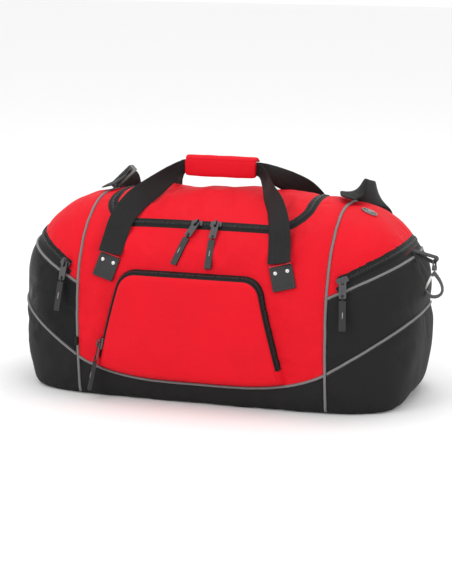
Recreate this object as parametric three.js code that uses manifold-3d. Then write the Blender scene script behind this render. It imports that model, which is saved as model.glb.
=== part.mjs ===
// A red and black sports holdall: soft body, U-zip lid, front and end pockets, two handles, shoulder strap.
// Millimetres. +Z is up, -Y out of the front pocket, +X to the right of someone facing the front pocket.
// The origin is the middle of the base, on the floor.
import * as THREE from 'three';
import { mergeVertices } from 'three/addons/utils/BufferGeometryUtils.js';
import Module from 'manifold-3d';

const wasm = await Module();
wasm.setup();

// ---- driving dimensions -------------------------------------------------------------------------
const HEIGHT = 314;
const LENGTH = 644;
const DEPTH = 314;
const FOOT_LENGTH = 604;
const FOOT_DEPTH = 292;
const LONGEST_AT = 170; // height at which the body is longest
const DEEPEST_AT = 135; // height at which the body is deepest
const CLOTH = 2.4; // cloth with its lining
const GAP = 0.3; // between pieces that touch on the real bag
const PIPING = 5; // width of the piping cord
const PIPING_PROUD = 1.5;
const CHAIN_PROUD = 0.8;
const SEAM = 200; // the two ring seams, from the middle
const MIDDLE = -10; // the pocket, lid and handles sit this far to the left
const WEBBING = 38;
const WEBBING_THICK = 2;
const CHAIN = 11; // width of a closed zip chain
const TAPE = 18; // width of a whole zip
const FAR = 400; // beyond the bag in any direction

// ---- small helpers ------------------------------------------------------------------------------
const v = (x, y, z) => new THREE.Vector3(x, y, z);
const smooth = (t) => THREE.MathUtils.clamp(t, 0, 1);

function solid(geometry) {
  const plain = geometry.index ? geometry.toNonIndexed() : geometry.clone();
  plain.deleteAttribute('normal');
  plain.deleteAttribute('uv');
  const merged = mergeVertices(plain, 1e-4);
  const vertProperties = new Float32Array(merged.attributes.position.array);
  const triVerts = new Uint32Array(merged.index.array);
  return new wasm.Manifold(new wasm.Mesh({ numProp: 3, vertProperties, triVerts }));
}

function geometryOf(manifold) {
  const mesh = manifold.getMesh();
  const geometry = new THREE.BufferGeometry();
  geometry.setAttribute('position', new THREE.BufferAttribute(new Float32Array(mesh.vertProperties), 3));
  geometry.setIndex(new THREE.BufferAttribute(new Uint32Array(mesh.triVerts), 1));
  return geometry;
}

// A closed solid through rings of equally many points, with a flat fan at both ends.
function loft(rings) {
  const count = rings[0].length;
  const points = rings.flat();
  const index = [];
  const at = (ring, i) => ring * count + (i % count);
  for (let ring = 0; ring + 1 < rings.length; ring += 1) {
    for (let i = 0; i < count; i += 1) {
      index.push(at(ring, i), at(ring, i + 1), at(ring + 1, i + 1));
      index.push(at(ring, i), at(ring + 1, i + 1), at(ring + 1, i));
    }
  }
  const last = rings.length - 1;
  for (let i = 1; i + 1 < count; i += 1) {
    index.push(at(0, 0), at(0, i + 1), at(0, i));
    index.push(at(last, 0), at(last, i), at(last, i + 1));
  }
  const geometry = new THREE.BufferGeometry();
  geometry.setFromPoints(points);
  geometry.setIndex(index);
  return geometry;
}

function shapeOf(points, holes = []) {
  const shape = new THREE.Shape(points.map(([x, y]) => new THREE.Vector2(x, y)));
  shape.holes = holes.map((hole) => new THREE.Path(hole.map(([x, y]) => new THREE.Vector2(x, y))));
  return shape;
}

// A plate with its outline in XY, centred on its thickness in Z.
function plate(points, thickness, holes = []) {
  const settings = { depth: thickness, bevelEnabled: false };
  const geometry = new THREE.ExtrudeGeometry(shapeOf(points, holes), settings);
  return geometry.translate(0, 0, -thickness / 2);
}

const rectangle = (x0, y0, x1, y1) => [[x0, y0], [x1, y0], [x1, y1], [x0, y1]];

// A cutter with its outline in XZ, from y0 to y1.
function cutterXZ(points, y0, y1) {
  const geometry = new THREE.ExtrudeGeometry(shapeOf(points), { depth: y1 - y0, bevelEnabled: false });
  return solid(geometry.rotateX(Math.PI / 2).translate(0, y1, 0));
}

// A cutter with its outline in XY, from z0 to z1.
function cutterXY(points, z0, z1) {
  const geometry = new THREE.ExtrudeGeometry(shapeOf(points), { depth: z1 - z0, bevelEnabled: false });
  return solid(geometry.translate(0, 0, z0));
}

// ---- the body's surface -------------------------------------------------------------------------
// At height z the body's plan is |x / halfLength|^n + |y / halfDepth|^m = 1, boxier near the floor.
const ROOF_LENGTH = { fall: 2.0, round: 4.0 };
const ROOF_DEPTH = { fall: 2.3, round: 2.0 };
const PLAN_FLOOR = { n: 5.0, m: 4.5 };
const PLAN_UPPER = { n: 4.0, m: 3.0 };

function profile(z, widest, foot, widestAt, roof) {
  if (z <= widestAt) return widest - (widest - foot) * ((widestAt - z) / widestAt) ** 2;
  const rise = smooth((z - widestAt) / (HEIGHT - widestAt));
  return widest * (1 - rise ** roof.fall) ** (1 / roof.round);
}

const halfLength = (z) => profile(z, LENGTH / 2, FOOT_LENGTH / 2, LONGEST_AT, ROOF_LENGTH);
const halfDepth = (z) => profile(z, DEPTH / 2, FOOT_DEPTH / 2, DEEPEST_AT, ROOF_DEPTH);

function planPowers(z) {
  const t = smooth(z / LONGEST_AT);
  return {
    n: THREE.MathUtils.lerp(PLAN_FLOOR.n, PLAN_UPPER.n, t),
    m: THREE.MathUtils.lerp(PLAN_FLOOR.m, PLAN_UPPER.m, t),
  };
}

// Depth of the front (or rear) wall at x, z, and height of the roof at x, y.
function wallDepth(x, z) {
  const { n, m } = planPowers(z);
  const rest = 1 - Math.abs(x / halfLength(z)) ** n;
  return halfDepth(z) * Math.max(rest, 0) ** (1 / m);
}

function wallLength(y, z) {
  const { n, m } = planPowers(z);
  const rest = 1 - Math.abs(y / halfDepth(z)) ** m;
  return halfLength(z) * Math.max(rest, 0) ** (1 / n);
}

function roofHeight(x, y) {
  let low = DEEPEST_AT;
  let high = HEIGHT;
  for (let step = 0; step < 40; step += 1) {
    const z = (low + high) / 2;
    const inside = Math.abs(x) < halfLength(z) && Math.abs(y) < wallDepth(x, z);
    if (inside) low = z;
    else high = z;
  }
  return low;
}

// The whole body as a solid, grown by the given amount and never below the floor.
const BODY_SIDES = 32;
const WALL_LEVELS = 3;
const ROOF_LEVELS = 5;
const ROOF_LAST = THREE.MathUtils.degToRad(89.3);

function bodyLevels() {
  const levels = [];
  for (let i = 0; i < WALL_LEVELS; i += 1) levels.push((LONGEST_AT * i) / WALL_LEVELS);
  for (let i = 0; i <= ROOF_LEVELS; i += 1) {
    levels.push(LONGEST_AT + (HEIGHT - LONGEST_AT) * Math.sin((ROOF_LAST * i) / ROOF_LEVELS));
  }
  return levels;
}

function bodySolid(grow) {
  const floor = Math.max(0, -grow);
  const rings = bodyLevels().map((level) => {
    const { n, m } = planPowers(level);
    const height = floor + (level * (HEIGHT + grow - floor)) / HEIGHT;
    const ring = [];
    for (let i = 0; i < BODY_SIDES; i += 1) {
      const angle = (2 * Math.PI * (i + 0.5)) / BODY_SIDES;
      const c = Math.cos(angle);
      const s = Math.sin(angle);
      const x = Math.sign(c) * (halfLength(level) + grow) * Math.abs(c) ** (2 / n);
      const y = Math.sign(s) * (halfDepth(level) + grow) * Math.abs(s) ** (2 / m);
      ring.push(v(x, y, height));
    }
    return ring;
  });
  return solid(loft(rings));
}

const layer = (outer, inner) => bodySolid(outer).subtract(bodySolid(inner));
const clothShell = layer(0, -CLOTH);
const PIPING_DEEP = 0.6; // piping reaches this far behind the cloth
const pipingShell = layer(PIPING_PROUD, -CLOTH - PIPING_DEEP);
const chainShell = layer(CHAIN_PROUD, -CLOTH);

// ---- seam lines on the walls, as heights over x -------------------------------------------------
const LOWER_MIDDLE = 34;
const LOWER_AT_SEAM = 64;
const LOWER_CURVE = 3.5;
const LOWER_END_SLOPE = 0.65;
const UPPER_AT_SEAM = 181;
const UPPER_SLOPE = 0.45;
const END_ZIP_ABOVE = 16; // centre of the end zip above the upper piping, at the seam
const END_ZIP_SLOPE = 0.5;
const END_ZIP_START = 214; // x where the end zip starts

function lowerLine(x) {
  const reach = Math.abs(x);
  if (reach > SEAM) return LOWER_AT_SEAM + LOWER_END_SLOPE * (reach - SEAM);
  return LOWER_MIDDLE + (LOWER_AT_SEAM - LOWER_MIDDLE) * (reach / SEAM) ** LOWER_CURVE;
}

const upperLine = (x) => UPPER_AT_SEAM + UPPER_SLOPE * (Math.abs(x) - SEAM);
const endZipLine = (x) => UPPER_AT_SEAM + END_ZIP_ABOVE + END_ZIP_SLOPE * (Math.abs(x) - SEAM);
const BELOW_ALL = () => -FAR;
const ABOVE_ALL = () => FAR;

// Outline between two lines, each moved by its own offset, from x0 to x1.
function between(low, lowOffset, high, highOffset, x0, x1, steps) {
  const xs = [];
  for (let i = 0; i <= steps; i += 1) xs.push(x0 + ((x1 - x0) * i) / steps);
  const bottom = xs.map((x) => [x, low(x) + lowOffset]);
  const top = xs.map((x) => [x, high(x) + highOffset]).reverse();
  return [...bottom, ...top];
}

const across = (outline) => cutterXZ(outline, -FAR, FAR);
const HALF_PIPING = PIPING / 2;
const PANEL_EDGE = HALF_PIPING + GAP; // a panel's edge from the middle of its piping
const IN_SEAM = SEAM - PANEL_EDGE;
const OUT_SEAM = SEAM + PANEL_EDGE;
const LINE_STEPS = 7;
const END_STEPS = 2;

// ---- the outlines of the lid and of the front pocket --------------------------------------------
const LID_HALF_LENGTH = 162;
const LID_FRONT = 103; // distance of the main zip's front run from the middle
const LID_HINGE_Y = 97;
const LID_CORNER = 52;
const ROOF_FORESHORTENED = 0.8; // width in plan of a strip of the sloping roof at the lid's front
const ROOF_FROM = 195; // everything inside the lid's outline above this height is roof
const CORNER_STEPS = 3;

function arc(cx, cy, radius, from, to, steps = CORNER_STEPS) {
  const points = [];
  for (let i = 0; i <= steps; i += 1) {
    const angle = THREE.MathUtils.degToRad(from + ((to - from) * i) / steps);
    points.push([cx + radius * Math.cos(angle), cy + radius * Math.sin(angle)]);
  }
  return points;
}

// The lid's outline in plan: straight at its hinge, round at the two front corners.
function lidOutline(grow, back = LID_HINGE_Y) {
  const half = LID_HALF_LENGTH + grow;
  const front = -LID_FRONT - grow * ROOF_FORESHORTENED;
  const radius = LID_CORNER + grow;
  const left = MIDDLE - half;
  const right = MIDDLE + half;
  return [
    [right, back],
    [left, back],
    ...arc(left + radius, front + radius, radius, 180, 270),
    ...arc(right - radius, front + radius, radius, 270, 360),
  ];
}

// The front pocket's outline in XZ: an inverted U, wider at its foot.
const POCKET_TOP = 205;
const POCKET_LIFT = PANEL_EDGE + 0.5; // the pocket's foot above the lower piping
const POCKET_HALF_FOOT = 150;
const POCKET_HALF_TOP = 117;
const POCKET_CORNER = 30;
const POCKET_MIDDLE = MIDDLE - 4;

function pocketOutline(grow, lift = POCKET_LIFT) {
  const foot = POCKET_HALF_FOOT + grow;
  const side = POCKET_HALF_TOP + grow;
  const top = POCKET_TOP + grow;
  const radius = POCKET_CORNER + grow;
  const x = POCKET_MIDDLE;
  const footLine = between(lowerLine, lift, lowerLine, lift, x - foot, x + foot, LINE_STEPS);
  return [
    ...footLine.slice(0, LINE_STEPS + 1),
    ...arc(x + side - radius, top - radius, radius, 10, 90),
    ...arc(x - side + radius, top - radius, radius, 90, 170),
  ];
}

// ---- the scene ----------------------------------------------------------------------------------
const bag = new THREE.Group();

const FINISH = {
  red: { color: 0xe8142c, roughness: 0.75, metalness: 0 },
  black: { color: 0x2b2b2d, roughness: 0.8, metalness: 0 },
  mesh: { color: 0x1c1c1e, roughness: 0.6, metalness: 0 },
  piping: { color: 0x9d9899, roughness: 0.6, metalness: 0 },
  webbing: { color: 0x29292b, roughness: 0.85, metalness: 0 },
  zip: { color: 0x18181a, roughness: 0.55, metalness: 0 },
  gunmetal: { color: 0x6f7276, roughness: 0.35, metalness: 0.9 },
  nickel: { color: 0xcfd0d2, roughness: 0.25, metalness: 0.95 },
  rubber: { color: 0x202022, roughness: 0.7, metalness: 0 },
  board: { color: 0x3a3a3a, roughness: 0.9, metalness: 0 },
};

function add(name, geometry, finish, parent = bag) {
  const mesh = new THREE.Mesh(geometry, new THREE.MeshStandardMaterial(FINISH[finish]));
  mesh.name = name;
  parent.add(mesh);
  return mesh;
}

const addCut = (name, manifold, finish) => add(name, geometryOf(manifold), finish);

const SIDES = [['left', -1], ['right', 1]];
const mirrored = (outline, side) => outline.map(([x, z]) => [side * x, z]);
const order = (outline, side) => (side < 0 ? mirrored(outline, side).reverse() : outline);

// ---- base, front, rear and roof panels ----------------------------------------------------------
const centre = across(rectangle(-IN_SEAM, -FAR, IN_SEAM, FAR));
const belowBase = across(between(BELOW_ALL, 0, lowerLine, -PANEL_EDGE, -FAR, FAR, 4 * LINE_STEPS));
const centreShell = clothShell.intersect(centre);
const ZIP_EDGE = TAPE / 2 + GAP;
const HALF_CHAIN = CHAIN / 2;
const lidOpening = cutterXY(lidOutline(ZIP_EDGE, LID_HINGE_Y + GAP), ROOF_FROM, FAR);
const middleArea = between(lowerLine, PANEL_EDGE, ABOVE_ALL, 0, -IN_SEAM, IN_SEAM, 2 * LINE_STEPS);
const frontHalf = across(middleArea);
const bodyPanel = centreShell.intersect(frontHalf).subtract(lidOpening);
const inFront = cutterXY(rectangle(-FAR, -FAR, FAR, LID_HINGE_Y - GAP), -FAR, FAR);
const behind = cutterXY(rectangle(-FAR, LID_HINGE_Y, FAR, FAR), -FAR, FAR);

addCut('base_panel', centreShell.intersect(belowBase), 'black');
addCut('front_panel', bodyPanel.intersect(inFront), 'red');
addCut('rear_panel', bodyPanel.intersect(behind), 'red');
addCut('lid_panel', clothShell.intersect(cutterXY(lidOutline(-ZIP_EDGE), ROOF_FROM, FAR)), 'red');

const BOARD = { length: 380, depth: 262, thick: 3, lift: 3 };
const boardShape = new THREE.BoxGeometry(BOARD.length, BOARD.depth, BOARD.thick);
add('base_board', boardShape, 'board').position.z = BOARD.lift + BOARD.thick / 2;

// ---- the ends -----------------------------------------------------------------------------------
// Each end has a red roof panel, a zip with a wide tape, a pocket panel, and a lower panel that carries the
// divider between the end pocket and the main compartment.
const DIVIDER = { from: 205, thick: 1.6, top: 292, foot: 40, clear: 1 };
const END_CHAIN_TOP = 2.4;
const TAPE_OVER = 1; // tape beyond the end of the chain
const inside = bodySolid(-CLOTH / 2);

for (const [side, sign] of SIDES) {
  const end = (low, lowOffset, high, highOffset, x0 = OUT_SEAM) =>
    across(order(between(low, lowOffset, high, highOffset, x0, FAR, END_STEPS), sign));
  const zipStart = END_ZIP_START + GAP;
  const zipCut = end(upperLine, 0, endZipLine, ZIP_EDGE, END_ZIP_START);
  const roof = end(upperLine, PANEL_EDGE, ABOVE_ALL, 0).subtract(zipCut);
  addCut(`end_top_${side}`, clothShell.intersect(roof), 'red');
  const wall = sign > 0 ? DIVIDER.from : -DIVIDER.from - DIVIDER.thick;
  const dividerCut = across(rectangle(wall, -FAR, wall + DIVIDER.thick, DIVIDER.top));
  const divider = bodySolid(-CLOTH - DIVIDER.clear).intersect(dividerCut);
  const footArea = rectangle(wall, -FAR, wall + DIVIDER.thick, DIVIDER.foot);
  const dividerFoot = inside.intersect(across(footArea));
  const lower = clothShell.intersect(end(BELOW_ALL, 0, lowerLine, -PANEL_EDGE));
  addCut(`end_lower_${side}`, lower.add(divider).add(dividerFoot), 'black');
  const pocket = clothShell.intersect(end(lowerLine, PANEL_EDGE, upperLine, -PANEL_EDGE));
  if (side === 'left') addCut('mesh_pocket_left', pocket, 'mesh');
  else addCut('end_pocket_right', pocket, 'black');
  const tape = end(upperLine, PANEL_EDGE, endZipLine, TAPE / 2, zipStart);
  addCut(`end_zip_tape_${side}`, clothShell.intersect(tape), 'zip');
  const chainRoom = end(endZipLine, -HALF_CHAIN, endZipLine, HALF_CHAIN, zipStart + TAPE_OVER);
  addCut(`end_zip_chain_${side}`, layer(END_CHAIN_TOP, GAP).intersect(chainRoom), 'zip');
  const lowerBandEnd = end(lowerLine, -HALF_PIPING, lowerLine, HALF_PIPING);
  addCut(`piping_end_lower_${side}`, pipingShell.intersect(lowerBandEnd), 'piping');
  const upperBandEnd = end(upperLine, -HALF_PIPING, upperLine, HALF_PIPING);
  addCut(`piping_end_upper_${side}`, pipingShell.intersect(upperBandEnd), 'piping');
  const ring = across(rectangle(sign * SEAM - HALF_PIPING, -FAR, sign * SEAM + HALF_PIPING, FAR));
  addCut(`piping_ring_${side}`, pipingShell.intersect(ring), 'piping');
}

const pipingEdges = [lowerLine, -HALF_PIPING, lowerLine, HALF_PIPING];
const lowerBand = between(...pipingEdges, -IN_SEAM, IN_SEAM, 2 * LINE_STEPS);
const lowerPiping = pipingShell.intersect(across(lowerBand));
const frontSide = cutterXY(rectangle(-FAR, -FAR, FAR, 0), -FAR, FAR);
addCut('piping_lower_front', lowerPiping.intersect(frontSide), 'piping');
addCut('piping_lower_rear', lowerPiping.subtract(frontSide), 'piping');

// ---- the main zip -------------------------------------------------------------------------------
function lidBand(outer, inner) {
  const ring = cutterXY(lidOutline(outer), ROOF_FROM, FAR);
  return ring.subtract(cutterXY(lidOutline(inner, FAR), -FAR, 2 * FAR));
}

addCut('main_zip_body_tape', clothShell.intersect(lidBand(TAPE / 2, HALF_CHAIN + GAP)), 'zip');
addCut('main_zip_chain', chainShell.intersect(lidBand(HALF_CHAIN, -HALF_CHAIN)), 'zip');
addCut('main_zip_lid_tape', clothShell.intersect(lidBand(-HALF_CHAIN - GAP, -TAPE / 2)), 'zip');

// ---- the front pocket, which stands out from the front panel on a gusset that carries its zip ---
const POCKET_DEEP = 16;
const POCKET_BACK = 0.5;
const POCKET_CHAIN = [5, 11]; // the chain's place on the gusset, from the front panel
const [CHAIN_LOW, CHAIN_HIGH] = POCKET_CHAIN;
const POCKET_SLANT = 0.6; // how far the gusset leans in for each millimetre that it stands out
const SLANT_AT = 160; // distance from the middle at which the pocket has its stated outline
const SLANT_NEAR = 130;
const SLANT_FAR = 190;
const CHAIN_GROW = 0.8;

function pocketBlock(grow, lift) {
  const ring = (depth) => {
    const outline = pocketOutline(grow - POCKET_SLANT * (depth - SLANT_AT), lift);
    return outline.map(([x, z]) => v(x, -depth, z));
  };
  return solid(loft([ring(SLANT_NEAR), ring(SLANT_FAR)]));
}

const pocketWhole = pocketBlock(0);
const pocketInside = pocketBlock(-CLOTH, POCKET_LIFT - 2 * CLOTH);
const pocketRim = pocketWhole.subtract(pocketInside);
const pocketFootLine = between(BELOW_ALL, 0, lowerLine, PANEL_EDGE + CLOTH, -SEAM, SEAM, 2 * LINE_STEPS);
const pocketFoot = cutterXZ(pocketFootLine, -FAR, 0);

const gusset = pocketRim.subtract(pocketFoot);
addCut('front_pocket_gusset', layer(CHAIN_LOW - GAP, POCKET_BACK).intersect(gusset), 'zip');
const chainRim = pocketBlock(CHAIN_GROW).subtract(pocketInside).subtract(pocketFoot);
addCut('front_pocket_zip_chain', layer(CHAIN_HIGH, CHAIN_LOW).intersect(chainRim), 'zip');
const pocketLayer = layer(POCKET_DEEP, POCKET_BACK).intersect(pocketWhole);
const belowChain = bodySolid(CHAIN_HIGH + GAP).subtract(pocketFoot);
const pocketHollow = bodySolid(POCKET_DEEP - CLOTH).intersect(pocketInside).subtract(pocketFoot);
addCut('front_pocket_panel', pocketLayer.subtract(belowChain).subtract(pocketHollow), 'red');

// ---- zip sliders with their pull tabs and rubber grips ------------------------------------------
// A slider's own frame: Z out of the cloth, -Y the way its pull hangs, X across. Z = 0 is the chain's top.
const SLIDER = { length: 18, width: 12, low: 0.5, thick: 3.1, waist: 4 };
const CROWN = { half: 5, foot: 1.6, low: 3.4, open: 7.8, top: 9.4, wide: 2.4 };
const PIVOT_Z = 5.7;
const TAB = {
  half: 5.6,
  top: 1.15,
  end: -28,
  thick: 1.4,
  window: [-2, -7, 2, -1.15],
  hole: -23.6,
  holeR: 2.2,
  chamfer: 1.8,
};
const GRIP_PIVOT_Y = -26.5;
const GRIP = {
  half: 5.2,
  top: -4.4,
  end: -50,
  thick: 4.4,
  loopOut: 3.4,
  loopIn: 2.3,
  loopEnd: -5.2,
  loopHalf: 2.5,
  loopWide: 2,
};
const GRIP_WALL = 1.1;

// A frame plate standing across X: outline in local Y and Z.
function standing(points, wide, holes = []) {
  const geometry = plate(points, wide, holes);
  const turn = new THREE.Matrix4().makeBasis(v(0, 1, 0), v(0, 0, 1), v(1, 0, 0));
  return geometry.applyMatrix4(turn);
}

function sliderGeometry(turn) {
  const { length, width, low, thick, waist } = SLIDER;
  const outline = [
    [-length / 2, -width / 2 + 1],
    [-waist, -width / 2],
    [length / 2, -waist],
    [length / 2, waist],
    [-waist, width / 2],
    [-length / 2, width / 2 - 1],
  ];
  const shell = plate(outline, thick).translate(0, 0, low + thick / 2).rotateZ(turn);
  const opening = rectangle(-CROWN.half + CROWN.foot, low + thick, CROWN.half - CROWN.foot, CROWN.open);
  const crownOutline = rectangle(-CROWN.half, CROWN.low, CROWN.half, CROWN.top);
  const crown = standing(crownOutline, CROWN.wide, [opening.reverse()]);
  return geometryOf(solid(shell).add(solid(crown)));
}

function tabGeometry() {
  const hole = arc(0, TAB.hole, TAB.holeR, 0, 300, 5).reverse();
  const outline = [
    [-TAB.half, TAB.end + TAB.chamfer],
    [-TAB.half + TAB.chamfer, TAB.end],
    [TAB.half - TAB.chamfer, TAB.end],
    [TAB.half, TAB.end + TAB.chamfer],
    [TAB.half, TAB.top],
    [-TAB.half, TAB.top],
  ];
  return plate(outline, TAB.thick, [rectangle(...TAB.window), hole]);
}

function gripGeometry() {
  const bar = plate(rectangle(-GRIP.half, GRIP.end, GRIP.half, GRIP.top), GRIP.thick);
  const outer = rectangle(GRIP.loopEnd, -GRIP.loopHalf, GRIP.loopOut, GRIP.loopHalf);
  const half = GRIP.loopHalf - GRIP_WALL;
  const inner = rectangle(GRIP.top + GRIP_WALL, -half, GRIP.loopIn, half).reverse();
  return geometryOf(solid(bar).add(solid(standing(outer, GRIP.loopWide, [inner]))));
}

function basisFrom(out, hang) {
  const z = out.clone().normalize();
  const y = hang.clone().negate();
  y.addScaledVector(z, -y.dot(z)).normalize();
  const x = y.clone().cross(z);
  return new THREE.Matrix4().makeBasis(x, y, z);
}

// A slider at a place on a zip: the pull droops towards the cloth by droop, and the grip by gripDroop more.
function addPuller(name, { place, out, hang, turn = 0, droop = 0, gripDroop = 0 }) {
  const slider = new THREE.Group();
  slider.position.copy(place);
  slider.quaternion.setFromRotationMatrix(basisFrom(out, hang));
  slider.name = `${name}_frame`;
  bag.add(slider);
  add(`${name}_slider`, sliderGeometry(turn), 'gunmetal', slider);
  const tab = new THREE.Group();
  tab.position.z = PIVOT_Z;
  tab.rotation.x = THREE.MathUtils.degToRad(droop);
  tab.name = `${name}_tab_frame`;
  slider.add(tab);
  add(`${name}_pull_tab`, tabGeometry(), 'gunmetal', tab);
  const grip = new THREE.Group();
  grip.position.y = GRIP_PIVOT_Y;
  grip.rotation.x = THREE.MathUtils.degToRad(gripDroop);
  grip.name = `${name}_grip_frame`;
  tab.add(grip);
  add(`${name}_grip`, gripGeometry(), 'rubber', grip);
}

const DOWN = v(0, 0, -1);

// Outward normal of the front wall or roof near a point, from small steps along the wall.
function frontNormal(x, z) {
  const step = 2;
  const alongX = v(2 * step, wallDepth(x - step, z) - wallDepth(x + step, z), 0);
  const alongZ = v(0, wallDepth(x, z - step) - wallDepth(x, z + step), 2 * step);
  return alongX.cross(alongZ).normalize();
}

function onFront(x, z, proud) {
  return v(x, -wallDepth(x, z), z).addScaledVector(frontNormal(x, z), proud);
}

const MAIN_SLIDERS = { left: { x: -17, lean: 20 }, right: { x: 14, lean: 0 } };
const mainZipHeight = roofHeight(0, LID_FRONT);
for (const [side, { x, lean }] of Object.entries(MAIN_SLIDERS)) {
  const turn = THREE.MathUtils.degToRad(lean);
  const out = frontNormal(x, mainZipHeight);
  const hang = DOWN.clone().projectOnPlane(out).applyAxisAngle(out, -turn);
  const place = onFront(x, mainZipHeight, CHAIN_PROUD);
  addPuller(`main_zip_${side}`, { place, out, hang, turn, droop: 5, gripDroop: 15 });
}

// The pocket's left leg, as its foot and the start of its top corner.
const LEG_ARC = THREE.MathUtils.degToRad(10);
const legFootX = POCKET_MIDDLE - POCKET_HALF_FOOT;
const legFoot = v(legFootX, 0, lowerLine(legFootX) + POCKET_LIFT);
const legTop = v(
  POCKET_MIDDLE - POCKET_HALF_TOP + POCKET_CORNER * (1 - Math.cos(LEG_ARC)),
  0,
  POCKET_TOP - POCKET_CORNER * (1 - Math.sin(LEG_ARC)),
);
const POCKET_SLIDER_AT = 0.3; // part of the way up the leg
const legSide = v(legFoot.z - legTop.z, 0, legTop.x - legFoot.x).normalize();
const legOut = legSide.clone().addScaledVector(v(0, -1, 0), POCKET_SLANT).normalize();
const pocketSlider = legFoot.clone().lerp(legTop, POCKET_SLIDER_AT);
pocketSlider.y = -wallDepth(pocketSlider.x, pocketSlider.z) - (CHAIN_LOW + CHAIN_HIGH) / 2;
const leanIn = POCKET_SLANT * (-pocketSlider.y - SLANT_AT);
pocketSlider.addScaledVector(legSide, CHAIN_GROW - leanIn).addScaledVector(legOut, 2 * GAP);
addPuller('front_pocket', { place: pocketSlider, out: legOut, hang: DOWN, turn: Math.PI / 2 });

for (const [side, sign] of SIDES) {
  const x = sign * 222;
  const z = endZipLine(x);
  const travel = Math.atan(END_ZIP_SLOPE) * sign;
  const place = onFront(x, z, END_CHAIN_TOP);
  addPuller(`end_zip_${side}`, { place, out: frontNormal(x, z), hang: DOWN, turn: travel, gripDroop: 4 });
}

// ---- webbing: a flat band along a curve, its width direction given at each point ----------------
// Each stop is [x, y, z, width direction x, y, z, width].
function ribbon(stops, thick, steps) {
  const path = new THREE.CatmullRomCurve3(stops.map(([x, y, z]) => v(x, y, z)), false, 'centripetal');
  const wide = new THREE.CatmullRomCurve3(stops.map((stop) => v(stop[3], stop[4], stop[5])));
  const size = new THREE.CatmullRomCurve3(stops.map((stop) => v(stop[6], 0, 0)));
  const rings = [];
  for (let i = 0; i <= steps; i += 1) {
    const t = i / steps;
    const centre = path.getPoint(t);
    const along = path.getTangent(t);
    const across = wide.getPoint(t);
    across.addScaledVector(along, -across.dot(along)).normalize();
    const out = along.clone().cross(across);
    const half = size.getPoint(t).x / 2;
    const corner = (a, b) =>
      centre
        .clone()
        .addScaledVector(across, a * half)
        .addScaledVector(out, (b * thick) / 2);
    rings.push([corner(-1, -1), corner(1, -1), corner(1, 1), corner(-1, 1)]);
  }
  return solid(loft(rings));
}

// ---- carrying handles ---------------------------------------------------------------------------
const PATCH = { x: 142, z: 209, width: 36, height: 38, thick: 2, lean: 14, lift: 2.6 };
const RIVET = { radius: 3.2, thick: 1.6, apart: 19, up: 9, sides: 10 };
const HAND_Z = 350; // height of the hand portion of the handles
const HAND_Y = 4; // distance of each handle's hand portion from the middle
const HAND_WIDTH = 21; // webbing folded inside the wrap
const HANDLE_STEPS = 44;
const HANDLE_RISE = [
  [-136, -146, 231, 1, 0, -0.25],
  [-133, -132, 252, 1, 0.05, -0.3],
  [-127, -114, 281, 1, 0.1, -0.45],
  [-113, -86, 306, 0.85, 0.3, -0.65],
  [-93, -56, 324, 0.6, 0.35, -0.9],
  [-77, -24, 339, 0.3, 0.2, -1],
  [-64, -6, 349, 0.03, 0, -1],
];

// One handle: up from its left patch, along the hand portion, down to its right patch.
function handleStops() {
  const widths = [WEBBING, WEBBING, WEBBING, WEBBING, WEBBING - 3, WEBBING - 9, HAND_WIDTH];
  const left = HANDLE_RISE.map(([x, y, z, wx, wy, wz], i) => [MIDDLE + x, y, z, wx, wy, wz, widths[i]]);
  const right = HANDLE_RISE.map(([x, y, z, wx, wy, wz], i) => [MIDDLE - x, y, z, -wx, wy, wz, widths[i]]);
  const hand = [-54, 0, 54].map((x) => [MIDDLE + x, -HAND_Y, HAND_Z, 0, 0, -1, HAND_WIDTH]);
  return [...left, ...hand, ...right.reverse()];
}

const turnedRound = (geometry, offset = MIDDLE) =>
  geometry.clone().translate(-offset, 0, 0).rotateZ(Math.PI).translate(offset, 0, 0);

const handleGeometry = geometryOf(ribbon(handleStops(), WEBBING_THICK, HANDLE_STEPS));
add('front_handle', handleGeometry, 'webbing');
add('rear_handle', turnedRound(handleGeometry), 'webbing');

// A sewn patch over the end of a handle, with two rivets. Its own frame: Y up the strap, Z out of the cloth.
function patchFrame(side) {
  const x = MIDDLE + side * PATCH.x;
  const lean = THREE.MathUtils.degToRad(PATCH.lean) * side;
  const hang = v(Math.sin(lean), 0, -Math.cos(lean));
  const frame = basisFrom(frontNormal(x, PATCH.z), hang);
  return frame.setPosition(onFront(x, PATCH.z, PATCH.lift));
}

function patchGeometry() {
  const half = { w: PATCH.width / 2, h: PATCH.height / 2 };
  const sheet = solid(plate(rectangle(-half.w, -half.h, half.w, half.h), PATCH.thick));
  const { radius, thick, sides } = RIVET;
  const lift = (PATCH.thick + thick) / 2 - GAP;
  const rivets = [-1, 1].map((side) => {
    const rivet = new THREE.CylinderGeometry(radius, radius, thick, sides).rotateX(Math.PI / 2);
    return solid(rivet.translate((side * RIVET.apart) / 2, RIVET.up, lift));
  });
  return geometryOf(sheet.add(rivets[0]).add(rivets[1]));
}

for (const [side, sign] of SIDES) {
  const patch = patchGeometry().applyMatrix4(patchFrame(sign));
  add(`front_patch_${side}`, patch, 'black');
  add(`rear_patch_${sign < 0 ? 'right' : 'left'}`, turnedRound(patch), 'black');
}

// ---- grip wrap: a padded sleeve on the front handle, its flap lying over the rear handle --------
const WRAP = { length: 118, height: 29, wall: 3.4, slot: 4, slotHeight: 25 };
const FLAP = { reach: 18, thick: 3, lift: 0.6 };
const wrapFront = -HAND_Y - WRAP.slot / 2 - WRAP.wall - 3;
const wrapBack = -HAND_Y + WRAP.slot / 2 + 1.6;
const wrapTop = HAND_Z + WRAP.height / 2;
const wrapBottom = HAND_Z - WRAP.height / 2;

function alongX(points, length, holes) {
  return standing(points, length, holes).translate(MIDDLE, 0, 0);
}

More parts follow.
